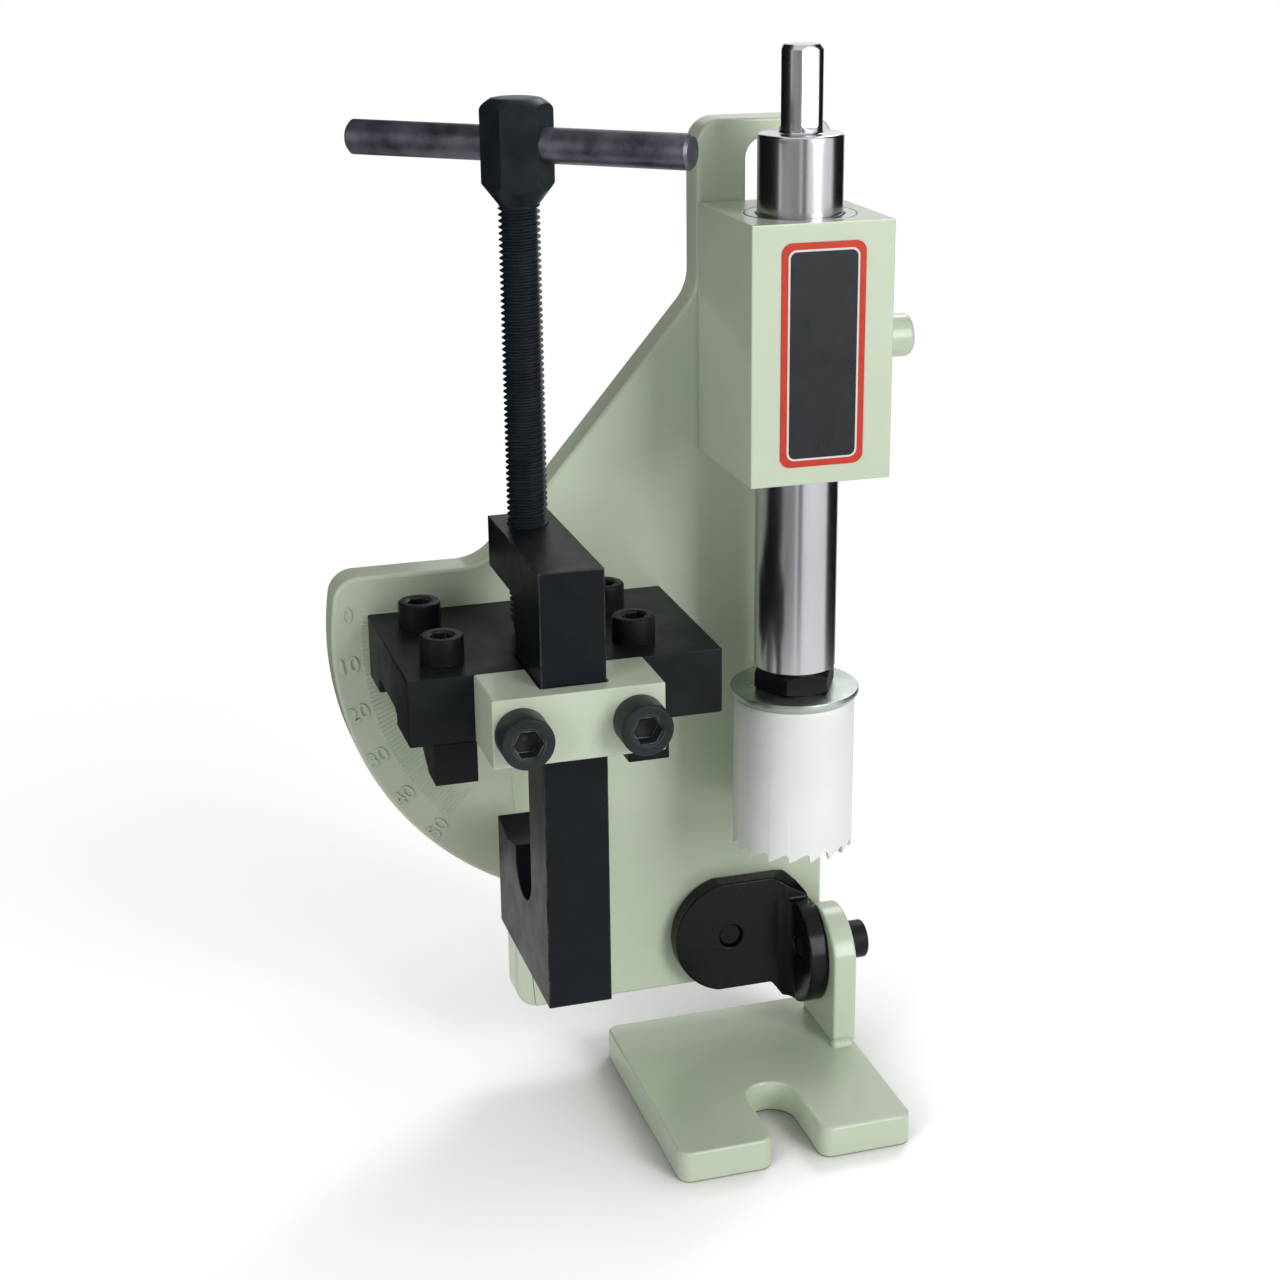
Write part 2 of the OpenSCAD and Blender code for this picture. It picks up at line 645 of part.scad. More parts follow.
module clamp_screw()
    color([0.13, 0.14, 0.15]) translate([frame_x, tool_y, 0]) rotate([0, 0, -bar_turn]) difference() {
        union() {
            translate([0, 0, screw_tip])
                cylinder(h = chamfer, r1 = screw_d / 2 - chamfer, r2 = screw_d / 2);
            translate([0, 0, screw_tip + chamfer]) cylinder(h = screw_len, r = screw_d / 2);
            translate([0, 0, screw_head_z]) rotate([0, 0, 30])
                turned_hex(screw_head_af, screw_head_h, screw_d / 2, screw_head_af / 3,
                    screw_head_af * 2 / 5, 3 * chamfer);
        }
        x_bar(-screw_head_af, screw_head_af, 0, bar_z, bar_d / 2 + run_fit);
    }

module sliding_bar()
    color([0.16, 0.17, 0.18]) translate([frame_x, tool_y, 0]) rotate([0, 0, -bar_turn]) {
        x_bar(-bar_len / 2 + chamfer, bar_len / 2 - chamfer, 0, bar_z, bar_d / 2);
        for (side = [0, 180]) rotate([0, 0, side]) translate([bar_len / 2 - chamfer, 0, bar_z])
            rotate([0, 90, 0]) cylinder(h = chamfer, r1 = bar_d / 2, r2 = bar_d / 2 - chamfer);
    }

// The two seats for the needle bearings meet a wider grease space between them
module spindle_block()
    color([0.82, 0.85, 0.78]) difference() {
        translate([tool_x - block_w / 2, plate_y - slide_gap - block_d, block_z])
            cube([block_w, block_d, block_h]);
        translate([tool_x, tool_y, block_z - over])
            cylinder(h = block_h + 2 * over, r = bearing_r + thread_fit);
        for (z = [block_bolt_low, block_bolt_low + block_bolt_gap])
            y_bar(plate_y - slide_gap - thread_depth, plate_y + over, tool_x, block_z + z,
                block_bolt_d / 2 + thread_fit);
        x_bar(tool_x, tool_x + block_w, tool_y, block_z + plug_rise, plug_d / 4 + thread_fit);
    }

// A drawn cup with a lip at each end
module bearing_cup(z)
    color([0.62, 0.63, 0.62]) translate([tool_x, tool_y, z]) difference() {
        cylinder(h = bearing_len, r = bearing_r);
        translate([0, 0, cup_wall]) cylinder(h = bearing_len - 2 * cup_wall, r = raceway_r);
        translate([0, 0, -over]) cylinder(h = bearing_len + 2 * over, r = spindle_r + hole_fit);
    }
module bearing_cup_upper() bearing_cup(upper_bearing_z);
module bearing_cup_lower() bearing_cup(block_z);

// The places of the needles about the spindle
module needle_places()
    for (i = [0:needle_count - 1])
        rotate([0, 0, i * 360 / needle_count]) translate([needle_pitch_r, 0, 0]) children();

module needle_cage(z)
    color([0.55, 0.50, 0.40]) translate([tool_x, tool_y, z + cup_wall + run_fit]) difference() {
        cylinder(h = cage_len, r = needle_pitch_r + needle_r / 2);
        translate([0, 0, -over]) cylinder(h = bearing_len + 2 * over, r = needle_pitch_r - needle_r / 2);
        needle_places() translate([0, 0, needle_r])
            cylinder(h = cage_len - 2 * needle_r, r = needle_r + thread_fit, $fn = 24);
    }
module needle_cage_upper() needle_cage(upper_bearing_z);
module needle_cage_lower() needle_cage(block_z);

module needles(z)
    color([0.75, 0.76, 0.78])
        translate([tool_x, tool_y, z + cup_wall + run_fit + needle_r + thread_fit]) needle_places()
            cylinder(h = cage_len - 2 * (needle_r + thread_fit), r = needle_r, $fn = 24);
module needles_upper() needles(upper_bearing_z);
module needles_lower() needles(block_z);

module grease_plug()
    color([0.80, 0.82, 0.75]) {
        x_bar(plug_x, plug_x + plug_len - chamfer, tool_y, block_z + plug_rise, plug_d / 2);
        translate([plug_x + plug_len - chamfer, tool_y, block_z + plug_rise]) rotate([0, 90, 0])
            cylinder(h = chamfer, r1 = plug_d / 2, r2 = plug_d / 2 - chamfer);
        x_bar((tool_x + bearing_r + plug_x) / 2, plug_x + plug_len / 2, tool_y, block_z + plug_rise,
            plug_d / 4);
    }

module label_plate()
    color([0.75, 0.16, 0.10]) upright(plate_y - slide_gap - block_d, label_t)
        translate([tool_x, block_z + block_h / 2]) polygon(rounded(
            [[-label_w / 2, -label_h / 2], [label_w / 2, -label_h / 2], [label_w / 2, label_h / 2],
             [-label_w / 2, label_h / 2]], [for (i = [1:4]) label_w / 8]));

module block_bolts()
    color([0.14, 0.15, 0.16]) for (z = [block_bolt_low, block_bolt_low + block_bolt_gap])
        back_screw(block_bolt_d, tool_x, block_z + z, plate_t + 2 * slide_gap + thread_depth * 4 / 5);
module block_washers()
    color([0.3, 0.31, 0.32]) for (z = [block_bolt_low, block_bolt_low + block_bolt_gap])
        back_washer(block_bolt_d, tool_x, block_z + z);

module spindle()
    color([0.75, 0.76, 0.78]) translate([tool_x, tool_y, 0]) {
        translate([0, 0, spindle_bottom + chamfer])
            cylinder(h = spindle_len - 2 * chamfer, r = spindle_r);
        translate([0, 0, spindle_top - chamfer])
            cylinder(h = chamfer, r1 = spindle_r, r2 = spindle_r - chamfer);
        translate([0, 0, spindle_bottom]) cylinder(h = chamfer, r1 = spindle_r - chamfer, r2 = spindle_r);
        translate([0, 0, flange_bottom - saw_base_t])
            cylinder(h = spindle_bottom - flange_bottom + saw_base_t + over, r = stud_d / 2);
        difference() {
            union() {
                translate([0, 0, spindle_top - over])
                    cylinder(h = shank_len + over - chamfer, r = shank_d / 2);
                translate([0, 0, spindle_top + shank_len - chamfer])
                    cylinder(h = chamfer, r1 = shank_d / 2, r2 = shank_d / 2 - chamfer);
            }
            for (i = [0:2]) rotate([0, 0, i * 120 - 60])
                translate([shank_flat, -shank_d / 2, spindle_top + shank_flat_rise])
                    cube([shank_d, shank_d, shank_len]);
        }
    }

module arbor_nut()
    color([0.08, 0.09, 0.10]) translate([tool_x, tool_y, nut_bottom]) difference() {
        rotate([0, 0, nut_turn]) turned_hex(nut_af, nut_h, nut_af / 2, chamfer, nut_af / 2, chamfer);
        translate([0, 0, -over]) cylinder(h = nut_h + 2 * over, r = stud_d / 2 + thread_fit);
    }

module saw_flange()
    color([0.70, 0.74, 0.70]) translate([tool_x, tool_y, flange_bottom]) difference() {
        union() {
            cylinder(h = flange_t - flange_rim_t, r1 = saw_d / 2, r2 = flange_d / 2);
            translate([0, 0, flange_t - flange_rim_t]) cylinder(h = flange_rim_t, r = flange_d / 2);
        }
        translate([0, 0, -over]) cylinder(h = flange_t + 2 * over, r = stud_d / 2 + thread_fit);
    }

// One gullet, cut straight through the wall: a tooth's long back, the root and the next tooth's steep face
module gullet(pitch)
    translate([saw_d / 2 - 2 * saw_wall, 0, saw_bottom]) rotate([90, 0, 90]) linear_extrude(3 * saw_wall)
        polygon([[-pitch * 7 / 16, -over], [-pitch / 8, tooth_depth * 3 / 4], [pitch / 8, tooth_depth],
            [pitch * 5 / 16, tooth_depth * 3 / 4], [pitch * 7 / 16, -over]]);

module saw_cup()
    color([0.93, 0.94, 0.92]) translate([tool_x, tool_y, 0]) difference() {
        translate([0, 0, saw_bottom]) cylinder(h = saw_len, r = saw_d / 2);
        translate([0, 0, saw_bottom - over])
            cylinder(h = saw_len - saw_base_t + over, r = saw_d / 2 - saw_wall);
        translate([0, 0, saw_bottom]) cylinder(h = saw_len + over, r = stud_d / 2 + thread_fit);
        for (i = [0:tooth_count - 1]) rotate([0, 0, i * 360 / tooth_count]) gullet(PI * saw_d / tooth_count);
    }

base_plate();
base_ear();
knuckle_bracket();
tilt_bolt();
swivel_bolt();
swivel_washer();
main_plate();
jaw_arm();
v_insert_left();
v_insert_right();
insert_screws();
bar_retainer();
retainer_screws();
pivot_bolt();
pivot_washer();
lock_bolt();
lock_washer();
clamp_frame();
clamp_screw();
sliding_bar();
spindle_block();
bearing_cup_upper();
bearing_cup_lower();
grease_plug();
label_plate();
block_bolts();
block_washers();
needle_cage_upper();
needle_cage_lower();
needles_upper();
needles_lower();
spindle();
arbor_nut();
saw_flange();
saw_cup();
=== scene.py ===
# The tube notcher's finish and fine shapes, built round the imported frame. Metres, in the frame's axes.
import math
import bmesh
import bpy
from mathutils import Matrix, Vector


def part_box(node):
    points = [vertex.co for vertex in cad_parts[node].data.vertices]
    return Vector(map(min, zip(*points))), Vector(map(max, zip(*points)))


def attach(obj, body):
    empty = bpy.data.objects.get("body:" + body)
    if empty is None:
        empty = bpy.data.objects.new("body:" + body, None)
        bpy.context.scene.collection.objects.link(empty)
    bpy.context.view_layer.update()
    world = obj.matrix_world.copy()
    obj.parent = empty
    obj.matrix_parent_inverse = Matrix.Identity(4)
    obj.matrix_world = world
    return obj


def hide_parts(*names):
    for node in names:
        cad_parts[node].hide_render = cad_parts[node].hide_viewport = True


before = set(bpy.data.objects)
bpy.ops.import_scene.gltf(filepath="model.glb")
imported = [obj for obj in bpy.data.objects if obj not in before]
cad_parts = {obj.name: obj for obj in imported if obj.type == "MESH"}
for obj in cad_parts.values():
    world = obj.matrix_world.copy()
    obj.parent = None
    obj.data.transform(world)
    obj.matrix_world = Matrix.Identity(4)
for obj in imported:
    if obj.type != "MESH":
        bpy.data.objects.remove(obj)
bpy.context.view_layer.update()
scene = bpy.context.scene
MM = 0.001

# Camera, light and floor
# The camera stands where the photographer stood, a little left of the tool's front and above it. A soft
# box at the front right is the main light, and dark cards, which only mirrors see, band the bright steel.
CAMERA_PLACE = Vector((-216.6, -611.9, 386.1)) * MM
CAMERA_YAW = 0.308
CAMERA_PITCH = 0.330
CAMERA_ROLL = -0.004
FOCAL_PIXELS = 2234.1
VIEW_CENTRE = (688.4, 628.0)
FRAME_PIXELS = 1280


def add_object(name, data):
    """An object at the origin, put in the scene."""
    made = bpy.data.objects.new(name, data)
    scene.collection.objects.link(made)
    return made


camera_data = bpy.data.cameras.new("camera")
camera_data.sensor_width = 36
camera_data.lens = FOCAL_PIXELS / FRAME_PIXELS * camera_data.sensor_width
camera_data.shift_x = (FRAME_PIXELS / 2 - VIEW_CENTRE[0]) / FRAME_PIXELS
camera_data.shift_y = (VIEW_CENTRE[1] - FRAME_PIXELS / 2) / FRAME_PIXELS
camera_data.dof.use_dof = False
camera = add_object("camera", camera_data)
view_direction = Vector((
    math.sin(CAMERA_YAW) * math.cos(CAMERA_PITCH),
    math.cos(CAMERA_YAW) * math.cos(CAMERA_PITCH),
    -math.sin(CAMERA_PITCH),
))
camera.matrix_world = (
    Matrix.Translation(CAMERA_PLACE)
    @ view_direction.to_track_quat("-Z", "Y").to_matrix().to_4x4()
    @ Matrix.Rotation(CAMERA_ROLL, 4, "Z")
)
scene.camera = camera
scene.view_settings.view_transform = "Standard"

OBJECT_MIDDLE = Vector((-15, 5, 170)) * MM


def soft_box(name, place, size, power):
    """A rectangular area lamp that faces the object."""
    lamp = bpy.data.lights.new(name, "AREA")
    lamp.shape = "RECTANGLE"
    lamp.size, lamp.size_y = size
    lamp.energy = power
    box = add_object(name, lamp)
    box.location = place
    box.rotation_euler = (OBJECT_MIDDLE - Vector(place)).to_track_quat("-Z", "Y").to_euler()


soft_box("key", (0.60, -1.20, 0.62), (0.55, 0.9), 11)
soft_box("fill", (-1.2, -0.9, 0.6), (0.6, 0.9), 5.5)
soft_box("back", (0.62, 0.80, 1.10), (0.45, 0.45), 4)


def add(tree, kind, inputs=None, **settings):
    """A node with its settings, and with its sockets given values or links."""
    made = tree.nodes.new(kind)
    for key, value in settings.items():
        setattr(made, key, value)
    for key, value in (inputs or {}).items():
        if isinstance(value, bpy.types.NodeSocket):
            tree.links.new(value, made.inputs[key])
        else:
            made.inputs[key].default_value = value
    return made


def maths(tree, operation, *values, **settings):
    """The result of a Math node."""
    return add(tree, "ShaderNodeMath", dict(enumerate(values)), operation=operation, **settings).outputs[0]


def empty_tree(owner):
    """The cleared node tree of a material or a world."""
    owner.use_nodes = True
    owner.node_tree.nodes.clear()
    return owner.node_tree


def seen_as_backdrop(tree):
    """1 for a ray from the camera, a mirror or glass."""
    path = add(tree, "ShaderNodeLightPath").outputs
    seen = maths(tree, "MAXIMUM", path["Is Camera Ray"], path["Is Glossy Ray"])
    return maths(tree, "MAXIMUM", seen, path["Is Transmission Ray"])


def blended(tree, share, first, second):
    """A mix of two shaders."""
    return add(tree, "ShaderNodeMixShader", {0: share, 1: first.outputs[0], 2: second.outputs[0]})


WORLD_LIGHT = 0.34
scene.world = bpy.data.worlds.new("studio")
sky = empty_tree(scene.world)
room = add(sky, "ShaderNodeBackground", {"Color": (1, 1, 1, 1), "Strength": WORLD_LIGHT})
backdrop = add(sky, "ShaderNodeBackground", {"Color": (1, 1, 1, 1), "Strength": 1.0})
sky_mix = blended(sky, seen_as_backdrop(sky), room, backdrop)
add(sky, "ShaderNodeOutputWorld", {"Surface": sky_mix.outputs[0]})

FLOOR_HALF = 6.0
SHADOW_NEAR = 0.17
SHADOW_FAR = 0.52
SHEET_SEEN = (0.82, 0.82, 0.82, 1)
PAINTED_SHADE_REACH = 0.12


def stage_plane(name, corners, material):
    """A flat stage piece with the given four corners."""
    mesh = bpy.data.meshes.new(name)
    mesh.from_pydata(corners, [], [(0, 1, 2, 3)])
    mesh.materials.append(material)
    plane = add_object(name, mesh)
    return plane


# The floor is grey paper to the object. To the camera it is white paper with painted shade, darker where the
# object is near, and it fades to plain white away from the object, so that it keeps the shadow and has no
# horizon.
floor_material = bpy.data.materials.new("white_floor")
paper = empty_tree(floor_material)
sheet = add(paper, "ShaderNodeBsdfDiffuse", {"Color": (0.8, 0.8, 0.8, 1)})
# Painted contact shade: ambient occlusion darkens the floor's colour, as the camera sees it, near the object
painted_contact_shade = add(paper, "ShaderNodeAmbientOcclusion", {"Color": SHEET_SEEN, "Distance": PAINTED_SHADE_REACH})
seen_sheet = add(paper, "ShaderNodeBsdfDiffuse", {"Color": painted_contact_shade.outputs["Color"]})
lit_sheet = add(paper, "ShaderNodeAddShader", {0: seen_sheet.outputs[0], 1: seen_sheet.outputs[0]})
white = add(paper, "ShaderNodeEmission", {"Color": (1, 1, 1, 1), "Strength": 1.0})
floor_place = add(paper, "ShaderNodeTexCoord").outputs["Object"]
away = add(paper, "ShaderNodeVectorMath", {0: floor_place}, operation="LENGTH")
fade = add(paper, "ShaderNodeMapRange", {
    "Value": away.outputs["Value"], "From Min": SHADOW_NEAR, "From Max": SHADOW_FAR,
}, interpolation_type="SMOOTHSTEP")
faded = blended(paper, fade.outputs[0], lit_sheet, white)
floor_mix = blended(paper, seen_as_backdrop(paper), sheet, faded)
add(paper, "ShaderNodeOutputMaterial", {"Surface": floor_mix.outputs[0]})
floor_corners = [(x * FLOOR_HALF, y * FLOOR_HALF, 0) for x, y in ((-1, -1), (1, -1), (1, 1), (-1, 1))]
stage_plane("floor", floor_corners, floor_material)

CARD_AWAY = 0.44
CARD_TOP = 0.85


def card(name, from_angle, to_angle, grey):
    """A grey upright card that only mirrors see, between two angles to the right of the tool's front."""
    material = bpy.data.materials.new(name)
    tree = empty_tree(material)
    felt = add(tree, "ShaderNodeBsdfDiffuse", {"Color": (grey, grey, grey, 1)})
    add(tree, "ShaderNodeOutputMaterial", {"Surface": felt.outputs[0]})
    start, end = [(CARD_AWAY * math.sin(math.radians(a)), -CARD_AWAY * math.cos(math.radians(a)))
                  for a in (from_angle, to_angle)]
    plane = stage_plane(name, [(*start, 0), (*end, 0), (*end, CARD_TOP), (*start, CARD_TOP)], material)
    plane.visible_camera = False
    plane.visible_diffuse = False
    plane.visible_shadow = False
    plane.visible_transmission = False


card("card_far_left", -177, -78, 0.01)
card("card_left", -72, -20, 0.5)
card("card_camera", -14, -2, 0.14)
card("card_right", 74, 135, 0.01)

# Base plate, ear and weld
# A sawn and ground steel plate with an open bolt slot, and an upright ear welded to its right edge, both
# sprayed in a smooth pale green-grey gloss that also covers the weld bead between them.
PAINT = (0.580, 0.652, 0.506)
PAINT_DEEP = (0.510, 0.592, 0.442)
BASE_EDGE = 0.9 * MM
WELD_R = 2.3 * MM
WELD_RIPPLE = 1.3 * MM
WELD_STAND_OUT = 0.2 * MM
WELD_OVERRUN = 0.8 * MM
WELD_STEPS = 60
SMOOTH_BELOW = math.radians(34)


def group(name, sockets_in, sockets_out, kind="ShaderNodeTree"):
    """An empty node group, with what it is given and the sockets that it fills."""
    tree = bpy.data.node_groups.new(name, kind)
    for way, sockets in (("INPUT", sockets_in), ("OUTPUT", sockets_out)):
        for socket_name, socket_kind, *value in sockets:
            made = tree.interface.new_socket(socket_name, in_out=way, socket_type="NodeSocket" + socket_kind)
            if value:
                made.default_value = value[0]
    return tree, tree.nodes.new("NodeGroupInput").outputs, tree.nodes.new("NodeGroupOutput").inputs


# Soft patches of two colours, with the patch value for roughness too
mottle, given, filled = group("mottle", [
    ("Vector", "Vector"), ("Scale", "Float", 60.0), ("Spread", "Float", 0.2), ("Light", "Color"),
    ("Deep", "Color"),
], [("Color", "Color"), ("Value", "Float")])
patches = add(mottle, "ShaderNodeTexNoise", {
    "Vector": given["Vector"], "Scale": given["Scale"], "Detail": 6.0, "Roughness": 0.6,
})
spread = add(mottle, "ShaderNodeMapRange", {
    "Value": patches.outputs["Fac"], "From Min": maths(mottle, "SUBTRACT", 0.5, given["Spread"]),
    "From Max": maths(mottle, "ADD", 0.5, given["Spread"]),
})
blend = add(mottle, "ShaderNodeMix", {0: spread.outputs[0], 6: given["Deep"], 7: given["Light"]},
            data_type="RGBA")
mottle.links.new(blend.outputs[2], filled["Color"])
mottle.links.new(spread.outputs[0], filled["Value"])

# The skin of sprayed paint as a height: fine waves, and slow runs two and a half times as high
sprayed, given, filled = group("sprayed_skin", [("Vector", "Vector"), ("Scale", "Float", 500.0)],
                               [("Height", "Float")])
waves = add(sprayed, "ShaderNodeTexNoise", {
    "Vector": given["Vector"], "Scale": given["Scale"], "Detail": 2.0, "Roughness": 0.45,
})
runs = add(sprayed, "ShaderNodeTexNoise", {"Vector": given["Vector"], "Scale": 70.0, "Detail": 2.0})
skin = maths(sprayed, "MULTIPLY_ADD", runs.outputs["Fac"], 2.5, waves.outputs["Fac"])
sprayed.links.new(skin, filled["Height"])

# Edge mask for rubbed metal and painted edge highlights: nothing until the rounded normal turns about 11
# degrees away, broken up by noise
edge_wear_highlight_tree, given, filled = group("worn_edge", [
    ("Vector", "Vector"), ("Radius", "Float", 0.0006), ("Gain", "Float", 3.0),
], [("Mask", "Float")])
rounded_normal = add(edge_wear_highlight_tree, "ShaderNodeBevel", {"Radius": given["Radius"]}, samples=6)
face_normal = add(edge_wear_highlight_tree, "ShaderNodeNewGeometry").outputs["True Normal"]
facing = add(edge_wear_highlight_tree, "ShaderNodeVectorMath", {0: rounded_normal.outputs[0], 1: face_normal},
             operation="DOT_PRODUCT")
turned_away = maths(edge_wear_highlight_tree, "SUBTRACT", 0.98, facing.outputs["Value"])
chips = add(edge_wear_highlight_tree, "ShaderNodeTexNoise", {"Vector": given["Vector"], "Scale": 260.0, "Detail": 5.0})
chip_share = add(edge_wear_highlight_tree, "ShaderNodeMapRange", {
    "Value": chips.outputs["Fac"], "From Min": 0.36, "From Max": 0.62,
}).outputs[0]
gained = maths(edge_wear_highlight_tree, "MULTIPLY", turned_away, given["Gain"])
edge_wear_highlight_tree.links.new(maths(edge_wear_highlight_tree, "MULTIPLY", gained, chip_share, use_clamp=True), filled["Mask"])


def placed(tree, made_group, inputs):
    """A group placed in a material, with its sockets given values or links."""
    return add(tree, "ShaderNodeGroup", inputs, node_tree=made_group)


def span(tree, value, low_end, high_end):
    """A 0 to 1 value spread between two ends."""
    return add(tree, "ShaderNodeMapRange", {"Value": value, "To Min": low_end, "To Max": high_end}).outputs[0]


def mottled(name, light, deep, scale, spread, rough, constants):
    """A material with patches of two colours, which set its roughness too unless rough is None. Gives the
    material, its tree, its shader and the place on the object."""
    material = bpy.data.materials.new(name)
    tree = empty_tree(material)
    shader = add(tree, "ShaderNodeBsdfPrincipled")
    add(tree, "ShaderNodeOutputMaterial", {"Surface": shader.outputs[0]})
    place = add(tree, "ShaderNodeTexCoord").outputs["Object"]
    tone = placed(tree, mottle, {
        "Vector": place, "Scale": scale, "Spread": spread, "Light": (*light, 1), "Deep": (*deep, 1),
    })
    tree.links.new(tone.outputs["Color"], shader.inputs["Base Color"])
    if rough:
        tree.links.new(span(tree, tone.outputs["Value"], *rough), shader.inputs["Roughness"])
    for key, value in constants.items():
        shader.inputs[key].default_value = value
    return material, tree, shader, place


def rubbed(tree, shader, place, radius, gain, colour):
    """Rubs the edges to another colour, which is partly a painted highlight, and gives the mask of where."""
    mask = placed(tree, edge_wear_highlight_tree, {"Vector": place, "Radius": radius, "Gain": gain}).outputs["Mask"]
    base = shader.inputs["Base Color"]
    whole = base.links[0].from_socket
    mix = add(tree, "ShaderNodeMix", {0: mask, 6: whole, 7: (*colour, 1)}, data_type="RGBA")
    tree.links.new(mix.outputs[2], base)
    return mask


def bumped(tree, shader, height, distance, strength):
    bump = add(tree, "ShaderNodeBump", {"Height": height, "Distance": distance, "Strength": strength})
    tree.links.new(bump.outputs[0], shader.inputs["Normal"])


def coated(tree, shader, place, scale, distance, strength):
    """Bumps the surface with the waves of a thin coat."""
    height = placed(tree, sprayed, {"Vector": place, "Scale": scale}).outputs["Height"]
    bumped(tree, shader, height, distance, strength)


def painted(name, light, deep):
    """Sprayed gloss paint over steel."""
    material, *look = mottled(name, light, deep, scale=22.0, spread=0.28, rough=(0.27, 0.36),
                              constants={"Coat Weight": 0.25, "Coat Roughness": 0.12})
    # Lighter paint along the edges: a painted highlight
    rubbed(*look, radius=0.7 * MM, gain=0.8, colour=[min(1, c * 1.12) for c in light])
    coated(*look, scale=420.0, distance=0.06 * MM, strength=0.5)
    return material


paint = painted("pale_paint", PAINT, PAINT_DEEP)


def soften(piece, width, segments=3):
    """Rounds the sharp edges and keeps the flats flat."""
    for face in piece.data.polygons:
        face.use_smooth = True
    bevel = piece.modifiers.new("round_edges", "BEVEL")
    bevel.width = width
    bevel.segments = segments
    bevel.limit_method = "ANGLE"
    bevel.angle_limit = SMOOTH_BELOW
    bevel.use_clamp_overlap = False
    bevel.miter_outer = "MITER_ARC"
    flats = piece.modifiers.new("flats", "WEIGHTED_NORMAL")
    flats.weight = 80


def dress(piece, body, material, nodes):
    """Gives a piece its material, its body and the nodes that it stands for."""
    piece.data.materials.clear()
    piece.data.materials.append(material)
    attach(piece, body)
    if nodes:
        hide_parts(*nodes)
    return piece


def merged_node(node, name):
    """A copy of a node's solid, merged into clean faces."""
    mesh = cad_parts[node].data.copy()
    mesh.name = name
    mesh.materials.clear()
    bm = bmesh.new()
    bm.from_mesh(mesh)
    bmesh.ops.remove_doubles(bm, verts=bm.verts, dist=0.002 * MM)
    bmesh.ops.dissolve_limit(bm, angle_limit=math.radians(0.6), verts=bm.verts, edges=bm.edges)
    bm.to_mesh(mesh)
    bm.free()
    return mesh


def refined(node, ending, edge, body, material, segments=3):
    """A node's solid with its edges rounded, as a dressed piece named for its finish."""
    piece = add_object(node + ending, merged_node(node, node + ending))
    soften(piece, edge, segments)
    dress(piece, body, material, [node])


refined("base_plate", "_painted", BASE_EDGE, "base", paint)
refined("base_ear", "_painted", BASE_EDGE, "base", paint)


def mesh_of(bm, name, sharp_above=None):
    """The mesh of a bmesh, shaded smooth but for edges sharper than an angle, if one is given."""
    mesh = bpy.data.meshes.new(name)
    bm.to_mesh(mesh)
    bm.free()
    if sharp_above:
        mesh.shade_smooth()
        mesh.set_sharp_from_angle(angle=sharp_above)
    return mesh


def tube_mesh(name, path, radius_at, sides=12):
    """A closed tube along a path, with its radius at each point of the path."""
    bm = bmesh.new()
    rings = []
    for i, point in enumerate(path):
        ahead = path[min(i + 1, len(path) - 1)] - path[max(i - 1, 0)]
        side = ahead.cross(Vector((0, 0, 1))).normalized()
        up = side.cross(ahead).normalized()
        ring = []
        for k in range(sides):
            angle = math.tau * k / sides
            ring.append(bm.verts.new(point + radius_at(i) * (math.cos(angle) * side + math.sin(angle) * up)))
        rings.append(ring)
    for near, far in zip(rings, rings[1:]):
        for k in range(sides):
            bm.faces.new((near[k], near[(k + 1) % sides], far[(k + 1) % sides], far[k]))
    bm.faces.new(rings[0])
    bm.faces.new(list(reversed(rings[-1])))
    bmesh.ops.recalc_face_normals(bm, faces=bm.faces)
    return mesh_of(bm, name, math.pi)


# The bead closes the front of the ear's foot, and its left end runs a little past the corner
ear_low, ear_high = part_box("base_ear")
weld_y = ear_low.y - WELD_STAND_OUT
weld_start = Vector((ear_low.x - WELD_OVERRUN, weld_y, ear_low.z))
weld_end = Vector((ear_high.x - 0.6 * WELD_R, weld_y, ear_low.z))
weld_path = [weld_start.lerp(weld_end, i / WELD_STEPS) for i in range(WELD_STEPS + 1)]


def weld_radius(i):
    """The bead's radius at a step of its path: thinner near both ends, and lightly rippled."""
    near_end = min(i, WELD_STEPS - i) / WELD_STEPS
    taper = math.sqrt(min(1.0, 0.35 + 5 * near_end))
    ripple = abs(math.sin(math.pi * i * (weld_end.x - weld_start.x) / WELD_STEPS / WELD_RIPPLE))
    return WELD_R * taper * (0.95 + 0.05 * ripple)


dress(add_object("weld_bead", tube_mesh("weld_bead", weld_path, weld_radius)), "base", paint, [])

# Knuckle bracket and its two bolts
# A bent steel bracket in thick black gloss, tapped for two M8 socket screws: one through the ear, which
# the tool tilts on, and one from behind the plate, which it swivels on.
KNUCKLE_GRAIN = 0.35 * MM
KNUCKLE_ROUNDS = 8
M8 = 8 * MM
M10 = 10 * MM
RETAINER_THREAD = 9.5 * MM
HEAD_CHAMFER = 0.8 * MM
# Shares of a thread's diameter: a screw head's radius, a washer's radius and a washer's thickness
HEAD_SHARE = 0.8
WASHER_R_SHARE = 1.1
WASHER_SHARE = 0.22


def blackened(name, light, deep, edge, edge_gain):
    """Oil-blackened steel, rubbed to bare metal along its edges, whose light edge colour is partly a painted
    highlight.
    """
    material, *look = mottled(name, light, deep, scale=90.0, spread=0.22, rough=(0.32, 0.46),
                              constants={"Specular IOR Level": 0.1})
    tree, shader = look[:2]
    # Bare metal at the edges, its light colour partly a painted highlight
    bare = rubbed(*look, radius=0.7 * MM, gain=edge_gain, colour=edge)
    tree.links.new(span(tree, bare, 0.0, 0.5), shader.inputs["Metallic"])
    coated(*look, scale=900.0, distance=0.03 * MM, strength=0.35)
    return material


def zinc_plated(name, light, deep):
    """Passivated zinc, with a faint green and yellow cast in patches."""
    material, *look = mottled(name, light, deep, scale=120.0, spread=0.25, rough=(0.24, 0.40),
                              constants={"Metallic": 1.0})
    coated(*look, scale=1200.0, distance=0.02 * MM, strength=0.4)
    return material


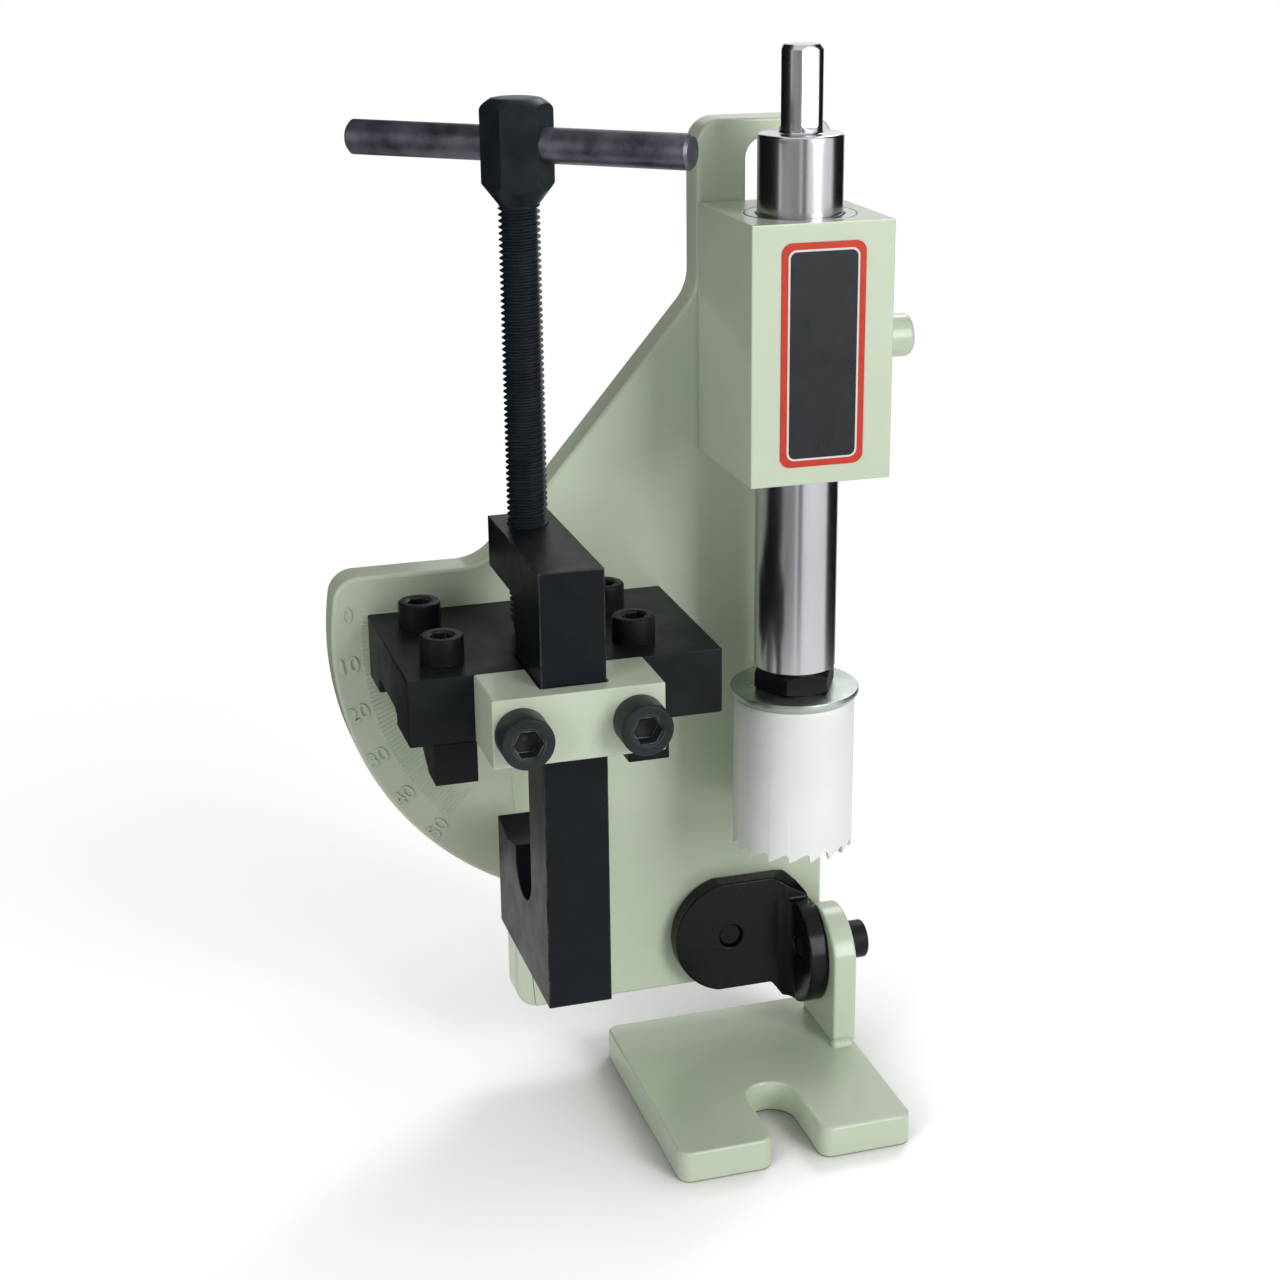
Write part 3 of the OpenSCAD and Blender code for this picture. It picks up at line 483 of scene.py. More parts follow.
# Thick brushed black enamel
black_enamel, *look = mottled(
    "black_enamel", (0.004, 0.006, 0.006), (0.002, 0.003, 0.003), scale=45.0, spread=0.2, rough=(0.22, 0.36),
    constants={"Specular IOR Level": 0.14, "Coat Weight": 0.08, "Coat Roughness": 0.12})
# Lighter edges: a painted highlight, with some rubbing
rubbed(*look, radius=0.6 * MM, gain=0.7, colour=(0.10, 0.11, 0.12))
coated(*look, scale=260.0, distance=0.12 * MM, strength=0.6)
# Light edge colour on the screw heads: rubbing and a painted highlight
black_screw = blackened("blackened_screws", (0.014, 0.016, 0.019), (0.007, 0.008, 0.010),
                        (0.34, 0.36, 0.37), 2.5)
zinc = zinc_plated("zinc_washers", (0.58, 0.60, 0.57), (0.42, 0.45, 0.40))


def baked(host, name):
    """The plain mesh that an object's modifiers make. The object goes."""
    bpy.context.view_layer.update()
    mesh = bpy.data.meshes.new_from_object(host.evaluated_get(bpy.context.evaluated_depsgraph_get()))
    bpy.data.objects.remove(host)
    mesh.name = name
    return mesh


def thickly_coated(node, name, grain, rounds):
    """A node's solid in one even skin, its edges rounded as thick enamel leaves them."""
    bare = add_object(name + "_bare", merged_node(node, name + "_bare"))
    skin = bare.modifiers.new("one_skin", "REMESH")
    skin.mode = "VOXEL"
    skin.voxel_size = grain
    flow = bare.modifiers.new("flow", "SMOOTH")
    flow.factor = 0.5
    flow.iterations = rounds
    mesh = baked(bare, name)
    mesh.shade_smooth()
    return add_object(name, mesh)


dress(thickly_coated("knuckle_bracket", "knuckle_enamelled", KNUCKLE_GRAIN, KNUCKLE_ROUNDS), "knuckle",
      black_enamel, ["knuckle_bracket"])


def turned(name, rows, steps=96, ends_meet=False):
    """A turned body: rows of (radius, height) from one end's centre to the other's, or round a ring whose
    ends meet. A radius may be a function of the angle, for hexagons and flats."""
    bm = bmesh.new()
    rings = []
    for radius, height in rows:
        ring = []
        for i in range(steps if radius else 1):
            angle = math.tau * i / steps
            r = radius(angle) if callable(radius) else radius
            ring.append(bm.verts.new((r * math.cos(angle), r * math.sin(angle), height)))
        rings.append(ring)
    for near, far in zip(rings, rings[1:] + (rings[:1] if ends_meet else [])):
        for i in range(steps):
            j = (i + 1) % steps
            corners = (near[i % len(near)], near[j % len(near)], far[j % len(far)], far[i % len(far)])
            bm.faces.new(list(dict.fromkeys(corners)))
    return mesh_of(bm, name, SMOOTH_BELOW)


def hexagon(flats, turn=0.0, limit=math.inf):
    """The radius of a hexagon at an angle, with a corner at turn, never past a limit."""
    return lambda angle: min(flats / 2 / math.cos((angle - turn) % (math.pi / 3) - math.pi / 6), limit)


def corner_radius(flats):
    return flats / 2 / math.cos(math.pi / 6)


def rounded_corner(r, z, radius, from_angle, to_angle, count=4):
    """Rows round a corner whose arc has its centre at (r, z)."""
    rows = []
    for i in range(count + 1):
        angle = math.radians(from_angle + (to_angle - from_angle) * i / count)
        rows.append((r + radius * math.cos(angle), z + radius * math.sin(angle)))
    return rows


def cap_screw(name, thread, shank, socket_share=0.8):
    """A socket head cap screw with its seat at zero and its head up."""
    head = thread
    head_r = thread * HEAD_SHARE
    ease = 0.35 * MM
    rows = [(0, -shank), (thread / 2 - HEAD_CHAMFER, -shank), (thread / 2, -shank + HEAD_CHAMFER),
            (thread / 2, 0), (head_r - ease, 0)]
    rows += rounded_corner(head_r - ease, ease, ease, -90, 0)
    rows += rounded_corner(head_r - HEAD_CHAMFER, head - HEAD_CHAMFER, HEAD_CHAMFER, 0, 90, 6)
    # The socket: an eased round mouth, six flats to half the head's height and a drilled cone
    socket = hexagon(thread * socket_share)
    mouth = corner_radius(thread * socket_share) + 0.25 * MM
    floor = head - head * 0.5
    rows += [(mouth + 0.15 * MM, head), (mouth, head - 0.12 * MM), (socket, head - 0.45 * MM),
             (socket, floor), (thread * 0.22, floor - 0.2 * MM), (0, floor - 0.9 * MM)]
    return turned(name, rows)


def washer_mesh(name, thread):
    """A plain washer that lies on zero, with a rolled edge from the punch."""
    r_in = thread / 2 + 0.05 * MM
    r_out = thread * WASHER_R_SHARE
    thick = thread * WASHER_SHARE
    roll = 0.3 * MM
    profile = [(r_in, 0), (r_out - roll, 0)] + rounded_corner(r_out - roll, roll, roll, -90, 0)[1:]
    profile += rounded_corner(r_out - roll, thick - roll, roll, 0, 90)
    profile += [(r_in + roll, thick), (r_in, thick - roll)]
    return turned(name, profile, 72, ends_meet=True)


def copied(tree, inputs, material, result):
    """Sets copies on points, makes them real and gives them the material."""
    copies = add(tree, "GeometryNodeInstanceOnPoints", inputs)
    real = add(tree, "GeometryNodeRealizeInstances", {"Geometry": copies.outputs[0]})
    shown = add(tree, "GeometryNodeSetMaterial", {"Geometry": real.outputs[0], "Material": material})
    tree.links.new(shown.outputs[0], result)


# Puts a copy of one part on each point of a mesh, all turned alike
seat_copies, given, filled = group("copies_on_seats", [
    ("Geometry", "Geometry"), ("Part", "Object"), ("Turn", "Vector"), ("Material", "Material"),
], [("Geometry", "Geometry")], "GeometryNodeTree")
part_shape = add(seat_copies, "GeometryNodeObjectInfo", {"Object": given["Part"]}).outputs["Geometry"]
copied(seat_copies, {"Points": given["Geometry"], "Instance": part_shape, "Rotation": given["Turn"]},
       given["Material"], filled[0])


def grown(name, tree, start_mesh, values):
    """An object with what a geometry tree makes of a start mesh and its named inputs."""
    host = add_object(name + "_host", start_mesh)
    modifier = host.modifiers.new("grow", "NODES")
    modifier.node_group = tree
    for item in tree.interface.items_tree:
        if item.item_type == "SOCKET" and item.in_out == "INPUT" and item.name in values:
            modifier[item.identifier] = values[item.name]
    return add_object(name, baked(host, name))


def set_on_seats(name, part_mesh, seats, turn, material, body, nodes):
    """Copies of one part on its seats, as one piece."""
    seat_mesh = bpy.data.meshes.new(name + "_seats")
    seat_mesh.from_pydata([tuple(seat) for seat in seats], [], [])
    part = add_object(name + "_pattern", part_mesh)
    piece = grown(name, seat_copies, seat_mesh, {"Part": part, "Turn": turn, "Material": material})
    bpy.data.objects.remove(part)
    return dress(piece, body, material, nodes)


# Turns that point a screw's head to the right, to the front and to the back
HEAD_RIGHT = (0.0, math.pi / 2, 0.0)
HEAD_FRONT = (math.pi / 2, 0.0, 0.0)
HEAD_BACK = (-math.pi / 2, 0.0, 0.0)
HEAD_UP = (0.0, 0.0, 0.0)


def middle_of(node):
    low_corner, high_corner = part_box(node)
    return (low_corner + high_corner) / 2


tilt_low, tilt_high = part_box("tilt_bolt")
tilt_seat = Vector((tilt_high.x - M8, *middle_of("tilt_bolt").yz))
set_on_seats("tilt_screw", cap_screw("tilt_screw", M8, tilt_seat.x - tilt_low.x), [tilt_seat], HEAD_RIGHT,
             black_screw, "knuckle", ["tilt_bolt"])


def back_fastener(node, washer_node, thread, body, seats=None):
    """A screw and its washer behind the plate, each on the node's own place."""
    screw_low, screw_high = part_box(node)
    centre = middle_of(node)
    places = seats or [(centre.x, centre.z)]
    seat_y = screw_high.y - thread
    head = [Vector((x, seat_y, z)) for x, z in places]
    under = [Vector((x, seat_y - thread * WASHER_SHARE, z)) for x, z in places]
    set_on_seats(node + "_made", cap_screw(node, thread, seat_y - screw_low.y), head, HEAD_BACK, black_screw,
                 body, [node])
    washer = washer_mesh(washer_node, thread)
    set_on_seats(washer_node + "_made", washer, under, HEAD_BACK, zinc, body, [washer_node])


back_fastener("swivel_bolt", "swivel_washer", M8, "knuckle")

# Main plate with its quadrant scale
# A profile-cut steel plate with a rounded rim, painted like the base. The degree marks and their plain
# numbers stand up from the face: 0 level on the left, 50 towards the bottom.
PLATE_EDGE = 1.3 * MM
SWING_X = -28 * MM
SWING_Z = 158.5 * MM
READ_OFFSET = 10 * MM
TICK_OUTER = 87.2 * MM
TICK_MAJOR = 11.5 * MM
TICK_MINOR = 8.0 * MM
TICK_WIDTH = 0.55 * MM
TICK_HEIGHT = 0.45 * MM
DIGIT_R = 92.0 * MM
DIGIT_SIZE = 7.0 * MM
DIGIT_HEIGHT = 0.5 * MM
DIGIT_BEVEL = 0.1 * MM
DIGIT_THINNED = 0.02 * MM
SCALE_TOP = 50

refined("main_plate", "_painted", PLATE_EDGE, "plate", paint, segments=4)
plate_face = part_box("main_plate")[0].y

# Ribs along the arm's reading edge: one for each degree, each tenth one longer
ticks, given, filled = group("degree_ribs", [
    ("Count", "Int", SCALE_TOP + 1), ("Step", "Float", math.radians(1)), ("Outer", "Float", TICK_OUTER),
    ("Major", "Float", TICK_MAJOR), ("Minor", "Float", TICK_MINOR), ("Width", "Float", TICK_WIDTH),
    ("Height", "Float", TICK_HEIGHT), ("Offset", "Float", READ_OFFSET), ("Material", "Material"),
], [("Geometry", "Geometry")], "GeometryNodeTree")


def calc(operation, *values):
    return maths(ticks, operation, *values)


row = add(ticks, "GeometryNodeMeshLine", {"Count": given["Count"], "Offset": (0, 0, 0)})
index = add(ticks, "GeometryNodeInputIndex").outputs[0]
swing_angle = calc("MULTIPLY", index, given["Step"])
tenth = calc("COMPARE", calc("MODULO", index, 10.0), 0.0, 0.1)
fifth = calc("COMPARE", calc("MODULO", index, 5.0), 0.0, 0.1)
halfway = calc("MULTIPLY", calc("ADD", given["Major"], given["Minor"]), 0.5)
short = add(ticks, "ShaderNodeMix", {0: fifth, 2: given["Minor"], 3: halfway}).outputs[0]
length = add(ticks, "ShaderNodeMix", {0: tenth, 2: short, 3: given["Major"]}).outputs[0]
middle_r = calc("SUBTRACT", given["Outer"], calc("MULTIPLY", length, 0.5))
cosine = calc("COSINE", swing_angle)
sine = calc("SINE", swing_angle)
along_x = calc("SUBTRACT", calc("MULTIPLY", middle_r, calc("MULTIPLY", cosine, -1.0)),
               calc("MULTIPLY", given["Offset"], sine))
along_z = calc("SUBTRACT", calc("MULTIPLY", given["Offset"], cosine), calc("MULTIPLY", middle_r, sine))
rib_place = add(ticks, "ShaderNodeCombineXYZ", {0: along_x, 2: along_z}).outputs[0]
rib_seats = add(ticks, "GeometryNodeSetPosition", {"Geometry": row.outputs[0], "Position": rib_place})
rib = add(ticks, "GeometryNodeMeshCube", {"Size": (1, 1, 1)})
rib_turn = add(ticks, "ShaderNodeCombineXYZ", {1: calc("MULTIPLY", swing_angle, -1.0)}).outputs[0]
# Half of a rib's height is sunk in the plate
rib_size = add(ticks, "ShaderNodeCombineXYZ", {
    0: length, 1: calc("MULTIPLY", given["Height"], 2.0), 2: given["Width"],
}).outputs[0]
copied(ticks, {
    "Points": rib_seats.outputs[0], "Instance": rib.outputs[0], "Rotation": rib_turn, "Scale": rib_size,
}, given["Material"], filled[0])

scale_ribs = grown("scale_ribs", ticks, bpy.data.meshes.new("scale_start"), {"Material": paint})
scale_ribs.data.transform(Matrix.Translation((SWING_X, plate_face, SWING_Z)))
soften(scale_ribs, 0.15 * MM, 2)
dress(scale_ribs, "plate", paint, [])


def number_mesh(text):
    """A number as a raised mesh on zero, its middle at the origin, facing up."""
    curve = bpy.data.curves.new("number", "FONT")
    curve.body = text
    curve.size = DIGIT_SIZE
    curve.align_x = "CENTER"
    curve.align_y = "CENTER"
    curve.extrude = DIGIT_HEIGHT
    curve.bevel_depth = DIGIT_BEVEL
    curve.bevel_resolution = 1
    curve.offset = -DIGIT_THINNED
    return baked(add_object("number", curve), "number")


numbers = bmesh.new()
for degrees in range(0, SCALE_TOP + 1, 10):
    angle = math.radians(degrees)
    mesh = number_mesh(str(degrees))
    outward = Vector((-math.cos(angle), 0, -math.sin(angle)))
    upward = Vector((-math.sin(angle), 0, math.cos(angle)))
    place = Vector((SWING_X, plate_face, SWING_Z)) + DIGIT_R * outward + READ_OFFSET * upward
    upright = Matrix.Rotation(-angle, 4, "Y") @ Matrix.Rotation(math.pi / 2, 4, "X")
    mesh.transform(Matrix.Translation(place) @ upright)
    numbers.from_mesh(mesh)
bmesh.ops.remove_doubles(numbers, verts=numbers.verts, dist=0.001 * MM)
dress(add_object("scale_numbers", mesh_of(numbers, "scale_numbers")), "plate", paint, [])

# Jaw arm, V inserts and their screws
# A thick blackened steel arm that swings over the quadrant on a bolt from behind. Two hardened V inserts
# sit in the channel under it, each held by two M8 socket screws, and a second bolt locks the angle.
ARM_EDGE = 0.5 * MM
INSERT_EDGE = 0.35 * MM
arm_steel = blackened("blackened_arm", (0.013, 0.017, 0.018), (0.007, 0.009, 0.010), (0.08, 0.09, 0.09), 0.9)
insert_steel = blackened("blackened_inserts", (0.009, 0.011, 0.012), (0.005, 0.006, 0.007),
                         (0.07, 0.08, 0.08), 0.8)
refined("jaw_arm", "_blackened", ARM_EDGE, "vise", arm_steel)
for node in ("v_insert_left", "v_insert_right"):
    refined(node, "_blackened", INSERT_EDGE, "vise", insert_steel)

insert_low, insert_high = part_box("insert_screws")
INSERT_HEAD_R = M8 * HEAD_SHARE
insert_seats = [
    Vector((x, y, insert_high.z - M8))
    for x in (insert_low.x + INSERT_HEAD_R, insert_high.x - INSERT_HEAD_R)
    for y in (insert_low.y + INSERT_HEAD_R, insert_high.y - INSERT_HEAD_R)
]
insert_screw = cap_screw("insert_screw", M8, insert_seats[0].z - insert_low.z)
set_on_seats("insert_screws_made", insert_screw, insert_seats, HEAD_UP, black_screw, "vise",
             ["insert_screws"])
back_fastener("pivot_bolt", "pivot_washer", M10, "vise")
back_fastener("lock_bolt", "lock_washer", M10, "vise")

# Retainer block and its screws
# A small painted steel block, slotted at the back, that traps the clamp frame's post against the arm. Two
# large socket screws go right through it into the arm's front edge.
RETAINER_EDGE = 0.6 * MM
refined("bar_retainer", "_painted", RETAINER_EDGE, "vise", paint)
keep_low, keep_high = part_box("retainer_screws")
KEEP_HEAD_R = RETAINER_THREAD * HEAD_SHARE
keep_seats = [
    Vector((x, keep_low.y + RETAINER_THREAD, middle_of("retainer_screws").z))
    for x in (keep_low.x + KEEP_HEAD_R, keep_high.x - KEEP_HEAD_R)
]
# The bright ring round each head is partly a painted highlight
big_screw = blackened("blackened_large_screws", (0.034, 0.040, 0.044), (0.016, 0.019, 0.021),
                      (0.40, 0.44, 0.45), 4.5)
keep_screw = cap_screw("retainer_screw", RETAINER_THREAD, keep_high.y - keep_seats[0].y)
set_on_seats("retainer_screws_made", keep_screw, keep_seats, HEAD_FRONT, big_screw, "vise",
             ["retainer_screws"])

# Clamp frame
# A flame-cut and milled C of blackened steel. The screw draws it up by its top bar, so that its lower jaw
# presses the tube into the V inserts. Its edges are rubbed bright, and the bright colour also paints their
# highlight lines.
FRAME_EDGE = 0.35 * MM
# The bright edge colour and its strong gain paint highlight lines along the edges
frame_steel = blackened("blackened_frame", (0.009, 0.012, 0.015), (0.005, 0.007, 0.009),
                        (0.36, 0.40, 0.40), 6.0)
refined("clamp_frame", "_blackened", FRAME_EDGE, "clamp", frame_steel)

# Clamp screw
# An M12 screw turned from hexagon bar, with a coned head that is bored across for the sliding bar. Its tip
# bears on the arm, and its thread runs in the clamp frame's top bar.
SCREW_THREAD = 12 * MM
SCREW_PITCH = 1.75 * MM
THREAD_DEPTH = 1.05 * MM
# The groove along one pitch, as shares of the pitch and of the depth
THREAD_PROFILE = [(0.0, 0.0), (0.06, 0.0), (0.42, 1.0), (0.58, 1.0), (0.94, 0.0)]
THREAD_START = 4 * MM
POINT_CHAMFER = 0.8 * MM
SCREW_FLATS = 18 * MM
SCREW_HEAD_H = 30 * MM
HEAD_EASE = 0.3 * MM
CONE_H = 6 * MM
CROWN_H = 3.2 * MM
CROWN_R = 7.2 * MM
BAR_D = 10 * MM
BAR_TURN = math.radians(-40)
screw_low, screw_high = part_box("clamp_screw")
screw_axis = Vector((middle_of("clamp_screw").x, middle_of("spindle").y, 0))
head_foot = screw_high.z - SCREW_HEAD_H
bar_height = middle_of("sliding_bar").z


def thread_mesh(name, low_end, high_end, around=40):
    """The thread's skin: the profile follows the helix, held between two flat ends."""
    turns = int((high_end - low_end) / SCREW_PITCH) + 2
    bm = bmesh.new()
    table = []
    for i in range(around * turns + 1):
        angle = math.tau * i / around
        column = []
        for share, inward in THREAD_PROFILE:
            z = low_end + (i / around + share - 1) * SCREW_PITCH
            z = min(max(z, low_end), high_end)
            r = SCREW_THREAD / 2 - THREAD_DEPTH * inward
            column.append(bm.verts.new((r * math.cos(angle), r * math.sin(angle), z)))
        table.append(column)
    last = len(THREAD_PROFILE) - 1
    for i in range(len(table) - 1):
        for k in range(last):
            bm.faces.new((table[i][k], table[i + 1][k], table[i + 1][k + 1], table[i][k + 1]))
        if i + 1 + around < len(table):
            bm.faces.new((table[i][last], table[i + 1][last], table[i + 1 + around][0], table[i + around][0]))
    bmesh.ops.remove_doubles(bm, verts=bm.verts, dist=0.001 * MM)
    bmesh.ops.dissolve_degenerate(bm, edges=bm.edges, dist=0.0005 * MM)
    return mesh_of(bm, name, math.radians(40))


rod = thread_mesh("clamp_thread", screw_low.z + THREAD_START, head_foot + 1.0 * MM)
core_r = SCREW_THREAD / 2 - THREAD_DEPTH * 0.98
core = turned("clamp_core", [
    (0, screw_low.z), (core_r - POINT_CHAMFER, screw_low.z), (core_r, screw_low.z + POINT_CHAMFER),
    (core_r, head_foot + 2 * MM), (0, head_foot + 2 * MM),
], 40)

# From the thread up the cone, the hexagon and the crowned top
HEAD_ROWS = 14
HEAD_TURN = -math.pi / 6
head_corner = corner_radius(SCREW_FLATS)
cone_foot_r = SCREW_THREAD / 2 - HEAD_EASE
head_rows = [(0, head_foot), (cone_foot_r, head_foot)]
for i in range(HEAD_ROWS + 1):
    share = i / HEAD_ROWS
    cone_r = cone_foot_r + (head_corner - cone_foot_r) * share
    head_rows.append((hexagon(SCREW_FLATS, HEAD_TURN, cone_r), head_foot + HEAD_EASE + CONE_H * share))
for i in range(HEAD_ROWS + 1):
    share = i / HEAD_ROWS
    crown_r = CROWN_R + (head_corner - CROWN_R) * math.cos(share * math.pi / 2)
    crown_z = screw_high.z - CROWN_H * (1 - share) - 0.4 * MM
    head_rows.append((hexagon(SCREW_FLATS, HEAD_TURN, crown_r), crown_z))
head_rows += [(CROWN_R * 0.8, screw_high.z - 0.15 * MM), (CROWN_R * 0.4, screw_high.z), (0, screw_high.z)]

head_piece = add_object("clamp_head", turned("clamp_head", head_rows, 192))
bore_r = BAR_D / 2 + 0.05 * MM
BORE_HALF = 15 * MM
bore_rows = [(0, -BORE_HALF), (bore_r, -BORE_HALF), (bore_r, BORE_HALF), (0, BORE_HALF)]
bore_mesh = turned("bar_bore", bore_rows, 64)
bore_mesh.transform(Matrix.Translation((0, 0, bar_height)) @ Matrix.Rotation(math.pi / 2, 4, "Y"))
bore = add_object("bar_bore", bore_mesh)
cut = head_piece.modifiers.new("bore", "BOOLEAN")
cut.operation = "DIFFERENCE"
cut.solver = "EXACT"
cut.object = bore
joined = bmesh.new()
for mesh in (rod, core, baked(head_piece, "bored_head")):
    joined.from_mesh(mesh)
bpy.data.objects.remove(bore)
clamp_mesh = mesh_of(joined, "clamp_screw_turned")
clamp_mesh.transform(Matrix.Translation(screw_axis) @ Matrix.Rotation(BAR_TURN, 4, "Z"))
clamp_mesh.set_sharp_from_angle(angle=SMOOTH_BELOW)
screw_steel = blackened("blackened_clamp_screw", (0.018, 0.024, 0.029), (0.008, 0.011, 0.014),
                        (0.10, 0.11, 0.13), 0.9)
dress(add_object("clamp_screw_turned", clamp_mesh), "screw", screw_steel, ["clamp_screw"])

# Sliding bar
# A length of blackened round bar that slides through the screw's head, with chamfered ends. Its black is
# worn thin in patches, with a slight blue sheen.
BAR_LEN = 106 * MM
BAR_CHAMFER = 0.8 * MM
bar_steel, *look = mottled("rubbed_bar", (0.150, 0.155, 0.190), (0.030, 0.032, 0.042), scale=70.0,
                           spread=0.18, rough=(0.30, 0.44), constants={"Metallic": 0.75})
# Lighter chamfered edges: rubbing and a painted highlight
rubbed(*look, radius=0.6 * MM, gain=2.2, colour=(0.30, 0.31, 0.33))
coated(*look, scale=700.0, distance=0.04 * MM, strength=0.5)
bar_r = BAR_D / 2
bar_mesh = turned("sliding_bar_turned", [
    (0, -BAR_LEN / 2), (bar_r - BAR_CHAMFER, -BAR_LEN / 2), (bar_r, -BAR_LEN / 2 + BAR_CHAMFER),
    (bar_r, -BAR_LEN / 6), (bar_r, BAR_LEN / 6),
    (bar_r, BAR_LEN / 2 - BAR_CHAMFER), (bar_r - BAR_CHAMFER, BAR_LEN / 2), (0, BAR_LEN / 2),
], 64)
bar_mesh.transform(
    Matrix.Translation(screw_axis + Vector((0, 0, bar_height)))
    @ Matrix.Rotation(BAR_TURN, 4, "Z") @ Matrix.Rotation(math.pi / 2, 4, "Y")
)
dress(add_object("sliding_bar_turned", bar_mesh), "bar", bar_steel, ["sliding_bar"])

# Spindle block, bearings and plug
# A bored steel block in the same paint, with a drawn-cup needle bearing pressed in at each end, a painted
# grease plug in its right side and two bolts through the plate's slot behind it.
BLOCK_EDGE = 0.45 * MM
CUP_EDGE = 0.5 * MM
refined("spindle_block", "_painted", BLOCK_EDGE, "block", paint)


def ground_steel(name, light, deep, low_rough, high_rough, rings):
    """Ground steel with fine rings round its axis, at so many rings to the metre."""
    material, tree, shader, place = mottled(name, light, deep, scale=40.0, spread=0.3, rough=None,
                                            constants={"Metallic": 1.0})
    parts = add(tree, "ShaderNodeSeparateXYZ", {0: place})
    thin = add(tree, "ShaderNodeCombineXYZ", {2: parts.outputs[2]})
    lines = add(tree, "ShaderNodeTexNoise", {"Vector": thin.outputs[0], "Scale": rings, "Detail": 4.0})
    tree.links.new(span(tree, lines.outputs["Fac"], low_rough, high_rough), shader.inputs["Roughness"])
    bumped(tree, shader, lines.outputs["Fac"], distance=0.006 * MM, strength=0.4)
    return material


bearing_steel = ground_steel("bearing_steel", (0.50, 0.51, 0.52), (0.36, 0.37, 0.38), 0.22, 0.40, 1800.0)
needle_steel = ground_steel("needle_steel", (0.66, 0.67, 0.69), (0.56, 0.57, 0.60), 0.12, 0.22, 2400.0)
for level in ("upper", "lower"):
    refined("bearing_cup_" + level, "_drawn", CUP_EDGE, "block", bearing_steel)
    for node, material in (("needle_cage_" + level, bearing_steel), ("needles_" + level, needle_steel)):
        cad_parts[node].data.materials.clear()
        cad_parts[node].data.materials.append(material)

plug_low, plug_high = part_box("grease_plug")
block_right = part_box("spindle_block")[1].x
plug_r = (plug_high.z - plug_low.z) / 2
plug_in = plug_low.x - block_right
plug_out = plug_high.x - block_right
PLUG_ROUND = 1.6 * MM
plug_rows = [(0, plug_in), (plug_r / 2, plug_in), (plug_r / 2, 0.2 * MM)]
plug_rows += rounded_corner(plug_r - 0.5 * MM, 0.5 * MM, 0.5 * MM, -90, 0)
plug_rows += rounded_corner(plug_r - PLUG_ROUND, plug_out - PLUG_ROUND, PLUG_ROUND, 0, 90, 6)
plug_rows += [(plug_r * 0.35, plug_out), (0, plug_out)]
set_on_seats("grease_plug_turned", turned("grease_plug", plug_rows, 72),
             [Vector((block_right, *middle_of("grease_plug").yz))], HEAD_RIGHT, paint, "block",
             ["grease_plug"])

bolt_low, bolt_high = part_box("block_bolts")
bolt_x = middle_of("block_bolts").x
back_fastener("block_bolts", "block_washers", M10, "block", [
    (bolt_x, bolt_low.z + M10 * HEAD_SHARE), (bolt_x, bolt_high.z - M10 * HEAD_SHARE),
])

# Label plate
# A thin printed plate on the block's front, plain: a red field, a fine pale line and a dark panel, with
# no words on it.


def printed(name, light, deep):
    """Gloss print under a clear skin."""
    return mottled(name, light, deep, scale=150.0, spread=0.3, rough=(0.25, 0.33),
                   constants={"Specular IOR Level": 0.2, "Coat Weight": 0.12, "Coat Roughness": 0.08})[0]


def rounded_plate(name, half_w, half_h, corner, thick):
    """A thin upright plate, its back on zero and its face to the front."""
    bm = bmesh.new()
    ring = []
    for sign_x, sign_z, first in ((1, 1, 0), (-1, 1, 90), (-1, -1, 180), (1, -1, 270)):
        middle_x, middle_z = sign_x * (half_w - corner), sign_z * (half_h - corner)
        ring += rounded_corner(middle_x, middle_z, corner, first, first + 90, 8)
    back = [bm.verts.new((x, 0, z)) for x, z in ring]
    front = [bm.verts.new((x, -thick, z)) for x, z in ring]
    bm.faces.new(back)
    bm.faces.new(list(reversed(front)))
    for i in range(len(ring)):
        j = (i + 1) % len(ring)
        bm.faces.new((back[j], back[i], front[i], front[j]))
    bmesh.ops.recalc_face_normals(bm, faces=bm.faces)
    return mesh_of(bm, name)


label_low, label_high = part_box("label_plate")
label_half = (label_high - label_low) / 2
label_back = middle_of("label_plate")
label_back.y = label_high.y
# Each layer's inset, corner radius and thickness in millimetres
LABEL_LAYERS = [
    ("label_field", 0.0, 3.2, 0.30, printed("label_red", (0.60, 0.050, 0.025), (0.50, 0.035, 0.018))),
    ("label_line", 2.0, 2.4, 0.38, printed("label_pale", (0.74, 0.73, 0.68), (0.66, 0.65, 0.60))),
    ("label_panel", 2.6, 2.0, 0.46, printed("label_dark", (0.020, 0.021, 0.026), (0.012, 0.013, 0.016))),
]
for name, inset, corner, thick, material in LABEL_LAYERS:
    mesh = rounded_plate(name, label_half.x - inset * MM, label_half.z - inset * MM, corner * MM, thick * MM)
    mesh.transform(Matrix.Translation(label_back))
    layer = add_object(name, mesh)
    soften(layer, 0.06 * MM, 2)
    dress(layer, "block", material, ["label_plate"] if inset == 0 else [])

# Spindle
# A ground and polished one inch shaft. Its upper end is turned down to a half inch shank with three milled
# flats for a drill chuck, and its lower end is threaded for the saw.
SPINDLE_R = 12.7 * MM
SHANK_R = 6.35 * MM
FLAT_R = 5.75 * MM
FLAT_START = 1.2 * MM
RUN_OUT = 1.6 * MM
STUD_R = 7.9 * MM
NOSE_CHAMFER = 1.0 * MM
SHANK_LEN = 25 * MM
SHANK_FILLET = 1 * MM
TIP_CHAMFER = 1.4 * MM
TIP_SLOPE = 0.75
FLAT_TURN = math.radians(-84)
spindle_low, spindle_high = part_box("spindle")
spindle_axis = Vector((*middle_of("spindle").xy, 0))
nut_low, nut_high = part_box("arbor_nut")
nose = nut_high.z
shoulder = spindle_high.z - SHANK_LEN


